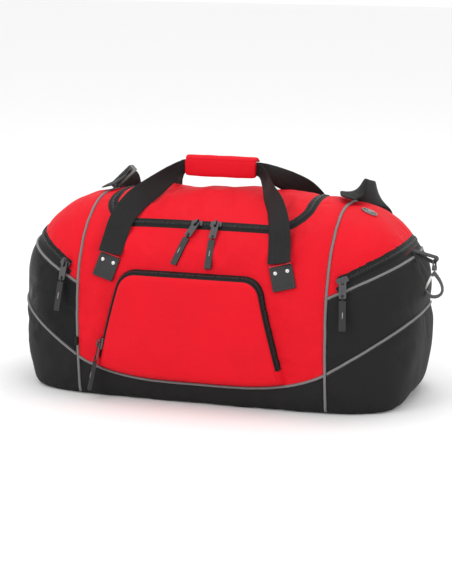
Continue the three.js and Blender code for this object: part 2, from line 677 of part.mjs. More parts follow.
const bevel = 4;
const wrapOutline = [
  [wrapFront, wrapBottom + bevel],
  [wrapFront + bevel, wrapBottom],
  [wrapBack, wrapBottom],
  [wrapBack, wrapTop],
  [wrapFront + bevel, wrapTop],
  [wrapFront, wrapTop - bevel],
];
const slotY = [-HAND_Y - WRAP.slot / 2, -HAND_Y + WRAP.slot / 2];
const slotZ = [HAND_Z - WRAP.slotHeight / 2, HAND_Z + WRAP.slotHeight / 2];
const slot = rectangle(slotY[0], slotZ[0], slotY[1], slotZ[1]).reverse();
add('grip_wrap', alongX(wrapOutline, WRAP.length, [slot]), 'red');
const flapLow = wrapTop + FLAP.lift;
const flapOutline = rectangle(wrapFront + bevel, flapLow, wrapBack + FLAP.reach, flapLow + FLAP.thick);
add('grip_wrap_flap', alongX(flapOutline, WRAP.length - 2), 'red');

// ---- shoulder strap with its slide adjuster -----------------------------------------------------
const STRAP_STEPS = 76;
const STRAP_STOPS = [
  [-199, -14, 313, 1, 0, 0.25],
  [-200, 25, 316, 1, 0, 0.45],
  [-200, 62, 317, 0.8, 0, 0.8],
  [-203, 95, 307, 0.8, 0, 0.6],
  [-214, 132, 272, 1, 0, 0.1],
  [-218, 158, 220, 1, 0, 0],
  [-216, 166, 150, 1, 0, 0],
  [-190, 166, 95, 0.6, 0, 0.8],
  [-120, 165, 72, 0.1, 0, 1],
  [0, 165, 66, 0, 0, 1],
  [120, 165, 72, -0.1, 0, 1],
  [190, 166, 95, -0.6, 0, 0.8],
  [218, 166, 150, -1, 0, 0],
  [222, 158, 215, -1, 0, 0.1],
  [224, 132, 264, -0.9, 0, 0.5],
  [225, 100, 297, -0.5, -0.2, 0.9],
  [222, 72, 309, -0.1, 0, 1],
  [214, 50, 315, 0.1, 0, 1],
  [205, 33, 321, 0.5, 0.2, 0.7],
  [200, 8, 318, 0.95, 0.1, -0.1],
  [199, -14, 314, 1, 0, -0.25],
];
const strapStops = STRAP_STOPS.map((stop) => [...stop, WEBBING]);
addCut('shoulder_strap', ribbon(strapStops, WEBBING_THICK, STRAP_STEPS), 'webbing');

// The slide: a frame of two windows round the strap. Its own frame: X across the strap, Y along it.
const SLIDE = { x: -200, y: 62, z: 317, width: 46, length: 20, thick: 5, slot: 41, slotThick: 5.4 };
const SLIDE_ROUTE = v(-0.02, 0.99, -0.12);

function slideGeometry() {
  const wall = (SLIDE.width - SLIDE.slot) / 2;
  const half = { w: SLIDE.width / 2, t: SLIDE.thick / 2 + SLIDE.slotThick / 2 };
  const outline = rectangle(-half.w, -half.t, half.w, half.t);
  const slot = { w: half.w - wall, t: SLIDE.slotThick / 2 };
  const opening = rectangle(-slot.w, -slot.t, slot.w, slot.t).reverse();
  return plate(outline, SLIDE.length, [opening]);
}

const slideFrame = new THREE.Group();
slideFrame.position.set(SLIDE.x, SLIDE.y, SLIDE.z);
const slideLean = v(0.8, 0, 0.8);
const slideAcross = slideLean.addScaledVector(SLIDE_ROUTE, -slideLean.dot(SLIDE_ROUTE)).normalize();
const slideOut = SLIDE_ROUTE.clone().cross(slideAcross).normalize();
slideFrame.quaternion.setFromRotationMatrix(
  new THREE.Matrix4().makeBasis(slideAcross, slideOut, slideAcross.clone().cross(slideOut)),
);
bag.add(slideFrame);
add('strap_slide', slideGeometry(), 'rubber', slideFrame);

// ---- snap hook on its webbing loop, at the right end --------------------------------------------
// The hook hangs in an XZ plane, with its barrel's axis at HOOK.x; heights run down from HOOK.top.
const HOOK = { x: 339, y: -20, top: 226, wire: 5, thick: 4.6, half: 20, length: 44, drop: 17, point: 3 };
const EYE = { half: 11, wire: 2.4, length: 12 };
const BARREL = { radius: 4, top: -10, length: 6.5 };
const LOOP = { wide: 16, thick: 1.6, rise: 10, round: 3.6, root: 3, lip: 2, turn: [-110, 70] };
const TEARDROP_STEPS = 20;

function inHookPlane(geometry) {
  return geometry.rotateX(Math.PI / 2).translate(HOOK.x, HOOK.y, HOOK.top);
}

// A teardrop, pointed at its top, which lies at height top.
function teardrop(half, length, top) {
  const points = [];
  for (let i = 0; i < TEARDROP_STEPS; i += 1) {
    const t = (2 * Math.PI * (i + 0.5)) / TEARDROP_STEPS;
    const x = half * Math.sin(t) * Math.abs(Math.sin(t / 2));
    points.push([x, top - (length * (1 - Math.cos(t))) / 2]);
  }
  return points;
}

const loopRoot = wallLength(HOOK.y, HOOK.top + LOOP.rise) + LOOP.root - HOOK.x;
function loopOutline(grow) {
  const bend = arc(0, 0, LOOP.round + grow, ...LOOP.turn, 6);
  const back = grow > 0 ? loopRoot : loopRoot + LOOP.thick * 3;
  const high = LOOP.rise + 2 * grow;
  const low = LOOP.rise - LOOP.lip - 2 * grow;
  return [[back, high], [back, low], ...bend];
}
const loopBand = plate(loopOutline(LOOP.thick), LOOP.wide, [loopOutline(0).reverse()]);
add('clip_loop', inHookPlane(loopBand), 'webbing');

const eyeOutline = rectangle(-EYE.half, -EYE.length, EYE.half, EYE.wire / 2);
const eyeInner = EYE.half - EYE.wire;
const eyeWindow = rectangle(-eyeInner, -EYE.length + EYE.wire, eyeInner, -EYE.wire / 2).reverse();
const eye = standing(eyeOutline, EYE.wire, [eyeWindow]);
const barrel = new THREE.CylinderGeometry(BARREL.radius, BARREL.radius, BARREL.length, 12);
barrel.rotateX(Math.PI / 2).translate(0, 0, BARREL.top - BARREL.length / 2);
const swivel = solid(eye).add(solid(barrel));
add('clip_swivel', geometryOf(swivel).translate(HOOK.x, HOOK.y, HOOK.top), 'gunmetal');

const hookInner = { half: HOOK.half - HOOK.wire, length: HOOK.length - 2 * HOOK.wire - HOOK.point };
const hookHole = teardrop(hookInner.half, hookInner.length, -HOOK.drop - HOOK.wire - HOOK.point);
const hookRing = plate(teardrop(HOOK.half, HOOK.length, -HOOK.drop), HOOK.thick, [hookHole.reverse()]);
const GATE = { pivot: [-4.4, -27], nose: [-13.6, -46.5], half: 1.5, thick: 3.2, room: 4 };
const gateRun = new THREE.Vector2(GATE.nose[0] - GATE.pivot[0], GATE.nose[1] - GATE.pivot[1]);
const gateTurn = Math.atan2(gateRun.x, -gateRun.y);

// A bar along the gate, in the hook's plane.
function gateBar(half, thick, over) {
  const bar = plate(rectangle(-half, -gateRun.length() - over, half, over), thick);
  return bar.rotateZ(gateTurn).translate(GATE.pivot[0], GATE.pivot[1], 0);
}

const gateCutter = gateBar(GATE.half + GATE.room, HOOK.thick + 2, GATE.half + GAP);
const gateRoom = solid(inHookPlane(gateCutter));
addCut('clip_hook', solid(inHookPlane(hookRing)).subtract(gateRoom), 'gunmetal');
add('clip_gate', inHookPlane(gateBar(GATE.half, GATE.thick, GATE.half)), 'nickel');

// ---- the oval badge on the right end ------------------------------------------------------------
const BADGE = { x: 236, y: -24, long: 13, short: 7.5, thick: 2, lift: 1.6, sides: 20, reach: 4 };
const innerHeight = roofHeight(BADGE.x - BADGE.reach, BADGE.y);
const outerHeight = roofHeight(BADGE.x + BADGE.reach, BADGE.y);
const badgeTilt = Math.atan((innerHeight - outerHeight) / (2 * BADGE.reach));
const badge = new THREE.CylinderGeometry(1, 1, BADGE.thick, BADGE.sides);
badge.scale(BADGE.short, 1, BADGE.long).rotateX(Math.PI / 2).rotateZ(Math.PI / 2);
badge.translate(0, 0, BADGE.lift).rotateY(badgeTilt);
add('badge', badge.translate(BADGE.x, BADGE.y, roofHeight(BADGE.x, BADGE.y)), 'nickel');

export default bag;
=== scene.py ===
"""A red and black sports holdall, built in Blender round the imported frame."""
import math
import bmesh
import bpy
import numpy as np
from mathutils import Matrix, Vector, noise
from mathutils.bvhtree import BVHTree
from mathutils.kdtree import KDTree


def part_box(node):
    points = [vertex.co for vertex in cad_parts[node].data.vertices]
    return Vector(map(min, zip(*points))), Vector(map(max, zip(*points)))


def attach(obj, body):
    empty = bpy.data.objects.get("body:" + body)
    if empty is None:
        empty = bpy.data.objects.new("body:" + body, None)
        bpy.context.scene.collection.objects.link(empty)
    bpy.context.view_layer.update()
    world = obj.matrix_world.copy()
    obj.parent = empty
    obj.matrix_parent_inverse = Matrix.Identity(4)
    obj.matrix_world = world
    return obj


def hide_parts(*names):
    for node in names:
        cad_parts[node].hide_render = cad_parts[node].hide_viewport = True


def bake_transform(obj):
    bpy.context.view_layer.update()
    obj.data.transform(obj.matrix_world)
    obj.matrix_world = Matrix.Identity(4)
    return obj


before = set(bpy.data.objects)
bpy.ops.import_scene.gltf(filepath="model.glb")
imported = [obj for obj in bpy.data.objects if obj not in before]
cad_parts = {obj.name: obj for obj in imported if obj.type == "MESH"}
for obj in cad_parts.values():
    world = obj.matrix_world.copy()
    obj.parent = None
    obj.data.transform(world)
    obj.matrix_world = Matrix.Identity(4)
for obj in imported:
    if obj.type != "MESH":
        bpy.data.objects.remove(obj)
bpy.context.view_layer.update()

MM = 0.001

# ---- the body's dimensions, in metres ----
HEIGHT = 314 * MM
LENGTH = 644 * MM
DEPTH = 314 * MM
FOOT_LENGTH = 604 * MM
FOOT_DEPTH = 292 * MM
LONGEST_AT = 170 * MM  # heights at which the body is longest and deepest
DEEPEST_AT = 135 * MM
FOOT_ROUND = 11 * MM
SEAM = 200 * MM  # reach of the two ring seams from the middle of the body
MIDDLE = -10 * MM  # middle of the handles and of the main zip, along X
PLAN_FLOOR = (5.0, 4.5)  # powers of the body's plan at the floor, along X and along Y
PLAN_UPPER = (4.0, 3.0)  # and from its longest height up
ROOF_LENGTH = (2.0, 4.0)  # how the length falls away towards the top, and how fully it is rounded
ROOF_DEPTH = (2.3, 2.0)  # and the same for the depth
WEBBING = 38 * MM
TAPE = 18 * MM
PIPING = 4.2 * MM
CLOTH_THICK = 0.9 * MM
LID_HALF_LENGTH = 162 * MM
LID_FRONT = 103 * MM
LID_HINGE_Y = 97 * MM
LID_CORNER = 52 * MM
POCKET_MIDDLE = MIDDLE - 4 * MM
POCKET_TOP = 205 * MM
POCKET_HALF_FOOT = 150 * MM
POCKET_HALF_TOP = 117 * MM
POCKET_CORNER = 30 * MM
POCKET_DEEP = 16 * MM
CELL = 6 * MM  # spacing of the skin's mesh
TRIM_STEP = 4 * MM  # spacing of the piping's and the tapes' points along their lines
SIDES = (("left", -1), ("right", 1))
FACES = (("front", 1), ("rear", -1))
X, Y, Z = np.eye(3)

# A handle patch: its place from the bag's middle, its size and how far it leans, in degrees.
PATCH = {
    "x": 142 * MM,
    "z": 209 * MM,
    "width": 36 * MM,
    "height": 38 * MM,
    "thick": 2 * MM,
    "corner": 2.5 * MM,
    "bevel": 0.8 * MM,
    "proud": 2.6 * MM,
    "lean": 14,
}


def profile(z, widest, foot, at, roof):
    """Half of the body's length or depth at height z."""
    fall, round_off = roof
    below = widest - (widest - foot) * (np.clip(at - z, 0, None) / at) ** 2
    rise = np.clip((z - at) / (HEIGHT - at), 0, 1)
    above = widest * (1 - rise**fall) ** (1 / round_off)
    return np.where(z <= at, below, above)


def half_length(z):
    return profile(z, LENGTH / 2, FOOT_LENGTH / 2, LONGEST_AT, ROOF_LENGTH)


def half_depth(z):
    return profile(z, DEPTH / 2, FOOT_DEPTH / 2, DEEPEST_AT, ROOF_DEPTH)


def plan_powers(z):
    t = np.clip(z / LONGEST_AT, 0, 1)
    n = PLAN_FLOOR[0] + (PLAN_UPPER[0] - PLAN_FLOOR[0]) * t
    m = PLAN_FLOOR[1] + (PLAN_UPPER[1] - PLAN_FLOOR[1]) * t
    return n, m


def lower_line(x):
    """Height of the seam between the base and the panels above it."""
    reach = np.abs(x)
    middle = (34 + 30 * (reach / SEAM) ** 3.5) * MM
    return np.where(reach > SEAM, 64 * MM + 0.65 * (reach - SEAM), middle)


def upper_line(x):
    """Height of the seam between an end pocket and the roof above it."""
    return 181 * MM + 0.45 * (np.abs(x) - SEAM)


def end_zip_line(x):
    return 197 * MM + 0.5 * (np.abs(x) - SEAM)


def smoothstep(t):
    t = np.clip(t, 0, 1)
    return t * t * (3 - 2 * t)


def lid_distance(p):
    """Distance from the main zip's middle line in plan: negative over the lid."""
    half_y = (LID_FRONT + LID_HINGE_Y + 60 * MM) / 2
    middle_y = -LID_FRONT + half_y
    qx = np.abs(p[:, 0] - MIDDLE) - (LID_HALF_LENGTH - LID_CORNER)
    qy = np.abs(p[:, 1] - middle_y) - (half_y - LID_CORNER)
    outside = np.hypot(np.maximum(qx, 0), np.maximum(qy, 0))
    return outside + np.minimum(np.maximum(qx, qy), 0) - LID_CORNER


def pocket_half_width(z):
    """Half of the front pocket's width at height z, its top corners left square."""
    foot = 42 * MM
    t = np.clip((z - foot) / (POCKET_TOP - POCKET_CORNER - foot), 0, 1.2)
    return POCKET_HALF_FOOT + (POCKET_HALF_TOP - POCKET_HALF_FOOT) * t


# ---- small mesh helpers ----
def make_object(name, verts, faces, material=None):
    mesh = bpy.data.meshes.new(name)
    mesh.from_pydata([tuple(v) for v in verts], [], faces)
    mesh.update()
    mesh.shade_smooth()
    obj = bpy.data.objects.new(name, mesh)
    bpy.context.scene.collection.objects.link(obj)
    if material:
        mesh.materials.append(material)
    return obj


def evaluated_mesh(obj):
    graph = bpy.context.evaluated_depsgraph_get()
    return bpy.data.meshes.new_from_object(obj.evaluated_get(graph))


def positions(mesh):
    co = np.empty(len(mesh.vertices) * 3)
    mesh.vertices.foreach_get("co", co)
    return co.reshape(-1, 3)


def set_positions(mesh, co):
    mesh.vertices.foreach_set("co", np.asarray(co, float).ravel())
    mesh.update()


def circle_turns(count):
    return 2 * np.pi * np.arange(count) / count


def superellipse(turns, n, m):
    """X and Y of points round a unit superellipse of powers n and m."""
    c, s = np.cos(turns), np.sin(turns)
    return np.sign(c) * np.abs(c) ** (2 / n), np.sign(s) * np.abs(s) ** (2 / m)


def grid_faces(rows, count, closed=False):
    """Faces between rows of count points, joined round from last to first where closed."""
    span = count if closed else count - 1
    return [
        (r * count + i, r * count + (i + 1) % count, (r + 1) * count + (i + 1) % count, (r + 1) * count + i)
        for r in range(rows - 1)
        for i in range(span)
    ]


def tube_faces(rows, count):
    """Faces of a closed tube of rings, with a cap at each end."""
    first = tuple(reversed(range(count)))
    last = tuple(range((rows - 1) * count, rows * count))
    return grid_faces(rows, count, closed=True) + [first, last]


def smooth_once(obj):
    smooth = obj.modifiers.new("smooth", "SUBSURF")
    smooth.levels = smooth.render_levels = 1


def as_cloth(obj, backed=True):
    """Smooths a sheet and makes it as thick as cloth, with the lining on its back where backed."""
    obj.data.materials.append(lining)
    smooth_once(obj)
    thick = obj.modifiers.new("cloth", "SOLIDIFY")
    thick.thickness = CLOTH_THICK
    thick.offset = -1
    thick.material_offset = int(backed)


def facing(place, out, up):
    """Matrix of a flat fitting at place: X across, Y up, Z out of the cloth."""
    up = (up - out * up.dot(out)).normalized()
    matrix = Matrix((up.cross(out), up, out)).transposed().to_4x4()
    matrix.translation = place
    return matrix


def finish_piece(obj, body, replaced=()):
    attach(obj, body)
    if replaced:
        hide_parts(*replaced)


# ---- the skin: one even mesh over the whole body, cut along its seams ----
def body_rings():
    """(height, inset) of each ring, from the rounded foot to the top."""
    rings = []
    for k in range(8):
        turn = math.radians(90 * k / 8)
        rings.append((FOOT_ROUND * (1 - math.cos(turn)), FOOT_ROUND * (1 - math.sin(turn))))
    for z in np.linspace(FOOT_ROUND, LONGEST_AT, 30):
        rings.append((z, 0))
    for k in range(1, 60):
        turn = math.radians(89.6 * k / 59)
        rings.append((LONGEST_AT + (HEIGHT - LONGEST_AT) * math.sin(turn), 0))
    return rings


def dense_body():
    count = 480
    turns = 2 * np.pi * (np.arange(count) + 0.5) / count
    rings = body_rings()
    verts = []
    for z, inset in rings:
        across, back = superellipse(turns, *plan_powers(z))
        x = (half_length(z) - inset) * across
        y = (half_depth(z) - inset) * back
        verts += [tuple(p) for p in np.column_stack([x, y, np.full(count, z)])]
    return make_object("dense_body", verts, tube_faces(len(rings), count))


def even_skin(dense):
    """The dense body as an even mesh of squares, set back on its surface."""
    remesh = dense.modifiers.new("even", "REMESH")
    remesh.mode = "VOXEL"
    remesh.voxel_size = CELL
    mesh = evaluated_mesh(dense)
    dense.modifiers.clear()
    tree = BVHTree.FromObject(dense, bpy.context.evaluated_depsgraph_get())
    co = positions(mesh)
    for _ in range(2):
        co = relaxed(mesh, co)
        co = np.array([tree.find_nearest(Vector(p))[0] for p in co])
    set_positions(mesh, co)
    return mesh


def relaxed(mesh, co):
    """Each vertex moved half way to the middle of its neighbours."""
    edges = np.empty(len(mesh.edges) * 2, np.int32)
    mesh.edges.foreach_get("vertices", edges)
    a, b = edges.reshape(-1, 2).T
    total = np.zeros_like(co)
    count = np.zeros(len(co))
    for one, other in ((a, b), (b, a)):
        np.add.at(total, one, co[other])
        np.add.at(count, one, 1)
    return 0.5 * co + 0.5 * total / count[:, None]


SNAP = 0.3  # a vertex nearer the cut than this share of its edge moves onto the cut


def cut(bm, seam, value, domain=None):
    """Splits the mesh along value = 0, inside domain, and marks the vertices there as a seam."""
    verts = list(bm.verts)
    co = np.array([v.co[:] for v in verts])
    f = value(co)
    allowed = np.ones(len(co), bool) if domain is None else domain(co)
    for index, vert in enumerate(verts):
        vert.index = index
    snaps = {}
    for edge in bm.edges:
        a, b = edge.verts[0].index, edge.verts[1].index
        if f[a] * f[b] >= 0 or not (allowed[a] and allowed[b]):
            continue
        t = f[a] / (f[a] - f[b])
        near, share = (a, t) if t < 0.5 else (b, 1 - t)
        if share < SNAP and not verts[near][seam] and share < snaps.get(near, (1,))[0]:
            snaps[near] = (share, edge.verts[0].co.lerp(edge.verts[1].co, t))
    for index, (_, place) in snaps.items():
        verts[index].co = place
        f[index] = 0
    on_line = [vert for vert in verts if f[vert.index] == 0 and allowed[vert.index]]
    crossing = []
    for edge in bm.edges:
        a, b = edge.verts[0].index, edge.verts[1].index
        if f[a] * f[b] < 0 and allowed[a] and allowed[b]:
            crossing.append((edge, edge.verts[0], f[a] / (f[a] - f[b])))
    for edge, vert, t in crossing:
        on_line.append(bmesh.utils.edge_split(edge, vert, t)[1])
    for vert in on_line:
        vert[seam] = 1
    faces = {face for vert in on_line for face in vert.link_faces}
    line = set(on_line)
    for face in faces:
        ends = [vert for vert in face.verts if vert in line]
        if len(ends) == 2 and not any(ends[1] in edge.verts for edge in ends[0].link_edges):
            bmesh.utils.face_split(face, ends[0], ends[1])


def cut_skin(mesh):
    bm = bmesh.new()
    bm.from_mesh(mesh)
    seam = bm.verts.layers.int.new("seam")
    slack = 0.01 * MM

    def on_roof(p):
        return (p[:, 2] > DEEPEST_AT) & (np.abs(p[:, 0]) < SEAM + slack)

    cut(bm, seam, lambda p: np.abs(p[:, 0]) - SEAM)
    cut(bm, seam, lambda p: p[:, 2] - lower_line(p[:, 0]))
    cut(bm, seam, lambda p: p[:, 2] - upper_line(p[:, 0]), lambda p: np.abs(p[:, 0]) > SEAM - slack)
    cut(bm, seam, lambda p: p[:, 1] - LID_HINGE_Y, on_roof)
    cut(bm, seam, lid_distance, lambda p: on_roof(p) & (p[:, 1] < LID_HINGE_Y + slack))
    return bm, seam


def held(co, seams):
    """True for the vertices that a seam, a zip, a patch, the pocket or the floor holds in place."""
    x, y, z = co.T
    reach = np.abs(x)
    main_zip = np.abs(lid_distance(co)) < TAPE / 2 + 2 * MM
    main_zip &= (z > DEEPEST_AT) & (reach < SEAM) & (y < LID_HINGE_Y)
    end_zip = (reach > 210 * MM) & (z > upper_line(x)) & (z < end_zip_line(x) + 10 * MM)
    margin = 3 * MM
    patch = np.abs(np.abs(x - MIDDLE) - PATCH["x"]) < PATCH["width"] / 2 + margin
    patch &= np.abs(z - PATCH["z"]) < PATCH["height"] / 2 + margin
    wall = np.abs(y) > 80 * MM
    pocket = np.abs(x - POCKET_MIDDLE) < pocket_half_width(z) + 4 * MM
    pocket &= (z < POCKET_TOP + 4 * MM) & (z > lower_line(x)) & (y < 0)
    floor = z < 0.6 * MM
    return (seams > 0) | main_zip | end_zip | (patch & wall) | pocket | floor


SWELL_FRAMES = 20


def swell(mesh, pinned):
    """Presses the skin outwards between its seams with a cloth simulation, on slightly loose cloth."""
    obj = bpy.data.objects.new("swelling", mesh.copy())
    bpy.context.scene.collection.objects.link(obj)
    group = obj.vertex_groups.new(name="held")
    group.add([int(i) for i in np.flatnonzero(pinned)], 1.0, "REPLACE")
    cloth = obj.modifiers.new("cloth", "CLOTH")
    settings = cloth.settings
    settings.quality = 6
    settings.mass = 0.25
    settings.tension_stiffness = 12
    settings.compression_stiffness = 12
    settings.shear_stiffness = 4
    settings.bending_stiffness = 0.35
    settings.shrink_min = -0.022
    settings.use_pressure = True
    settings.uniform_pressure_force = 3.0
    settings.vertex_group_mass = "held"
    settings.effector_weights.gravity = 0
    cloth.collision_settings.use_collision = False
    scene = bpy.context.scene
    for step in range(1, SWELL_FRAMES + 1):
        scene.frame_set(step)
    shaped = evaluated_mesh(obj)
    co = positions(shaped)
    bpy.data.objects.remove(obj)
    scene.frame_set(1)
    return co


def away_from(co, pinned, reach):
    """0 at a held vertex, rising to 1 at reach from every held vertex."""
    tree = KDTree(int(pinned.sum()))
    for i, p in enumerate(co[pinned]):
        tree.insert(Vector(p), i)
    tree.balance()
    distance = np.array([tree.find(Vector(p))[2] for p in co])
    return smoothstep(distance / reach)


# Pulled creases of the front wall, each from (x, z) to (x, z) in millimetres.
CREASES = (
    ((158, 190), (194, 206)),
    ((166, 150), (184, 88)),
    ((-186, 176), (-174, 112)),
    ((-96, 246), (-62, 226)),
    ((60, 248), (104, 222)),
)
CREASE_WIDE = 6 * MM
CREASE_DEEP = 2.2 * MM


def creased(co):
    """Height of the pulled creases at each point: a groove with a low ridge on each side."""
    front = co[:, 1] < 0
    height = np.zeros(len(co))
    for start, end in CREASES:
        a, b = np.array(start) * MM, np.array(end) * MM
        flat = co[:, [0, 2]] - a
        run = np.clip(flat @ (b - a) / ((b - a) @ (b - a)), 0, 1)
        away = np.linalg.norm(flat - run[:, None] * (b - a), axis=1) / CREASE_WIDE
        along_it = np.sin(np.pi * np.clip(run, 0.08, 0.92))
        across_it = (1 - 1.2 * away**2) * np.exp(-(away**2))
        height -= CREASE_DEEP * along_it * across_it
    return height * front


def soft_folds(co):
    """Height of the cloth's gentle waves at each point: long upright folds, and softer ones across."""
    waves = np.empty(len(co))
    for i, (x, y, z) in enumerate(co):
        upright = noise.noise(Vector((x * 17, y * 9, z * 5)))
        across = noise.noise(Vector((x * 7 + 4, y * 13, z * 19 + 8)))
        small = noise.noise(Vector((x * 45, y * 30 + 2, z * 34)))
        waves[i] = 3.8 * upright + 2.1 * across + 0.9 * small
    return waves * MM + creased(co)


SUNK_MOST = 4 * MM  # the simulated cloth is kept between these distances inside and outside its start
SWELLED_MOST = 8 * MM
FOLDS_FROM = 30 * MM  # distance from what holds the cloth at which its folds are at full height


def shaped_skin():
    """The skin's final points, with the faces cut along the seams."""
    dense = dense_body()
    bm, seam = cut_skin(even_skin(dense))
    bpy.data.objects.remove(dense)
    mesh = bpy.data.meshes.new("skin")
    seams = np.array([vert[seam] for vert in bm.verts])
    bm.to_mesh(mesh)
    bm.free()
    start = positions(mesh)
    normals = np.array([vert.normal[:] for vert in mesh.vertices])
    pinned = held(start, seams)
    loose = away_from(start, pinned, FOLDS_FROM)
    co = swell(mesh, pinned)
    move = np.einsum("ij,ij->i", co - start, normals)
    move = np.clip(move, -SUNK_MOST, SWELLED_MOST) + soft_folds(start) * loose
    final = start + normals * move[:, None] * (~pinned)[:, None]
    final[:, 2] = np.maximum(final[:, 2], 0)
    set_positions(mesh, final)
    return mesh, start


def region_of(middle):
    """Names of the skin's pieces, one for each face's middle point."""
    x, y, z = middle.T
    side = np.where(x < 0, "left", "right")
    reach = np.abs(x)
    name = np.where(z < lower_line(x), "base", "front")
    name = np.where((z > DEEPEST_AT) & (y > LID_HINGE_Y), "rear", name)
    name = np.where((z <= DEEPEST_AT) & (z >= lower_line(x)) & (y > 0), "rear", name)
    lid = (z > DEEPEST_AT) & (y < LID_HINGE_Y) & (lid_distance(middle) < 0)
    name = np.where(lid, "lid", name)
    end = np.where(z < lower_line(x), "end_lower", np.where(z < upper_line(x), "end_pocket", "end_top"))
    return np.where(reach > SEAM, np.char.add(np.char.add(end, "_"), side), name)


def split_skin(mesh, start):
    """The points and faces of each piece of the skin, by its name."""
    middle = np.array([start[list(face.vertices)].mean(axis=0) for face in mesh.polygons])
    names = region_of(middle)
    co = positions(mesh)
    parts = {}
    for name in sorted(set(names)):
        faces = [list(mesh.polygons[i].vertices) for i in np.flatnonzero(names == name)]
        used = sorted({v for face in faces for v in face})
        renumber = {old: new for new, old in enumerate(used)}
        parts[name] = ([co[v] for v in used], [[renumber[v] for v in face] for face in faces])
    return parts


# ---- lines and strips that follow the skin ----
class Surface:
    """The finished skin, for laying trim on it."""

    def __init__(self, mesh):
        polygons = [tuple(face.vertices) for face in mesh.polygons]
        self.tree = BVHTree.FromPolygons([tuple(v.co) for v in mesh.vertices], polygons)

    def hit(self, origin, direction):
        return self.tree.ray_cast(Vector(origin), Vector(direction))[0]

    def lay(self, point):
        """(nearest point of the skin, its outward normal)"""
        place, normal, _, _ = self.tree.find_nearest(Vector(point))
        return place, normal

    def ring_line(self, x):
        """From the front foot over the top to the rear foot, at x."""
        middle = (x, 0, DEEPEST_AT)
        turns = np.radians(np.linspace(-132.5, 132.5, 160))
        return [self.hit(middle, (0, math.sin(a), math.cos(a))) for a in turns]

    def base_line(self, facing):
        """Along the base's upper seam, on the front wall with facing -1 or the rear one with 1."""
        xs = np.linspace(-SEAM, SEAM, 90)
        return [self.hit((x, 0, float(lower_line(x))), (0, facing, 0)) for x in xs]

    def end_line(self, height, side, start=SEAM):
        """Round one end of the bag at height(x), from the front start to the rear one."""
        inner = SEAM * 0.5
        line = []
        first = math.atan2(150 * MM, start - inner)
        for turn in np.linspace(-first - 0.25, first + 0.25, 130):
            x = start
            for _ in range(7):
                start_at = (side * inner, 0, float(height(x)))
                place = self.hit(start_at, (side * math.cos(turn), math.sin(turn), 0))
                x = abs(place.x)
            if x >= start:
                line.append(place)
        return line

    def roof_line(self, outline):
        return [self.hit((x, y, 120 * MM), (0, 0, 1)) for x, y in outline]


def unit(vectors):
    return vectors / np.linalg.norm(vectors, axis=1)[:, None]


def run_of(points):
    """The distance along a line to each of its points."""
    return np.concatenate([[0], np.cumsum(np.linalg.norm(np.diff(points, axis=0), axis=1))])


def resampled(values, at):
    """Rows of values at places between them, counted in rows."""
    return np.column_stack([np.interp(at, np.arange(len(values)), column) for column in values.T])


def even_line(line, spacing):
    """The line again with evenly spaced points."""
    points = np.array([tuple(p) for p in line])
    run = run_of(points)
    count = max(2, int(round(run[-1] / spacing)))
    at = np.linspace(0, run[-1], count + 1)
    return np.column_stack([np.interp(at, run, column) for column in points.T])


def along(points):
    """Unit directions along a line."""
    return unit(np.gradient(points, axis=0))


def laid(surface, line, spacing):
    """Even points on the skin, with the outward normal and the sideways direction at each."""
    placed = [surface.lay(p) for p in even_line(line, spacing)]
    points = np.array([tuple(p) for p, _ in placed])
    normals = np.array([tuple(n) for _, n in placed])
    for _ in range(3):
        softer = normals.copy()
        softer[1:-1] = (normals[:-2] + normals[1:-1] * 2 + normals[2:]) / 4
        normals = unit(softer)
    return points, normals, unit(np.cross(along(points), normals))


def add_uv(obj, uvs):
    """uvs: (along, across) in metres for each vertex."""
    layer = obj.data.uv_layers.new(name="weave")
    index = np.empty(len(obj.data.loops), np.int32)
    obj.data.loops.foreach_get("vertex_index", index)
    layer.data.foreach_set("uv", np.asarray(uvs, np.float32)[index].ravel())


def swept(name, points, sides, outs, section, material):
    """A closed band or tube: section has the (across, out) offsets for the line, or for each point of it."""
    section = np.asarray(section, float)
    if section.ndim == 2:
        section = np.repeat(section[None], len(points), axis=0)
    rows, count = section.shape[:2]
    verts = points[:, None] + section[:, :, :1] * sides[:, None] + section[:, :, 1:] * outs[:, None]
    obj = make_object(name, verts.reshape(-1, 3), tube_faces(rows, count), material)
    run = np.repeat(run_of(points)[:, None], count, axis=1)
    add_uv(obj, np.stack([run, section[:, :, 0]], axis=-1).reshape(-1, 2))
    return obj


def skin_strip(surface, name, line, offsets, material):
    """A strip of cloth on the skin. offsets is a list of (across, height over the skin)."""
    points, _, sides = laid(surface, line, TRIM_STEP)
    verts = []
    for p, side in zip(points, sides):
        for across, lift in offsets:
            place, normal = surface.lay(p + side * across)
            verts.append(place + normal * lift)
    obj = make_object(name, verts, grid_faces(len(points), len(offsets)), material)
    add_uv(obj, [(row * TRIM_STEP, across) for row in range(len(points)) for across, _ in offsets])
    return obj


# One bar with bevelled top edges, as (along, across, out) parts of its size.
BAR = [
    (-0.5, -0.5, 0), (0.5, -0.5, 0), (0.5, 0.5, 0), (-0.5, 0.5, 0),
    (-0.3, -0.42, 1), (0.3, -0.42, 1), (0.3, 0.42, 1), (-0.3, 0.42, 1),
]
BAR_FACES = [(0, 1, 5, 4), (1, 2, 6, 5), (2, 3, 7, 6), (3, 0, 4, 7), (4, 5, 6, 7), (3, 2, 1, 0)]


def bars(name, places, size, material):
    """Many small bars as one mesh. Each place is (point, along, across, out)."""
    verts, faces = [], []
    for point, forward, across, out in places:
        base = len(verts)
        for a, b, c in BAR:
            verts.append(point + forward * (a * size[0]) + across * (b * size[1]) + out * (c * size[2]))
        faces += [tuple(base + i for i in face) for face in BAR_FACES]
    return make_object(name, verts, faces, material)


STITCH_PITCH = 4.2 * MM
STITCH = (2.9 * MM, 0.75 * MM, 0.45 * MM)  # length, width and height of one stitch


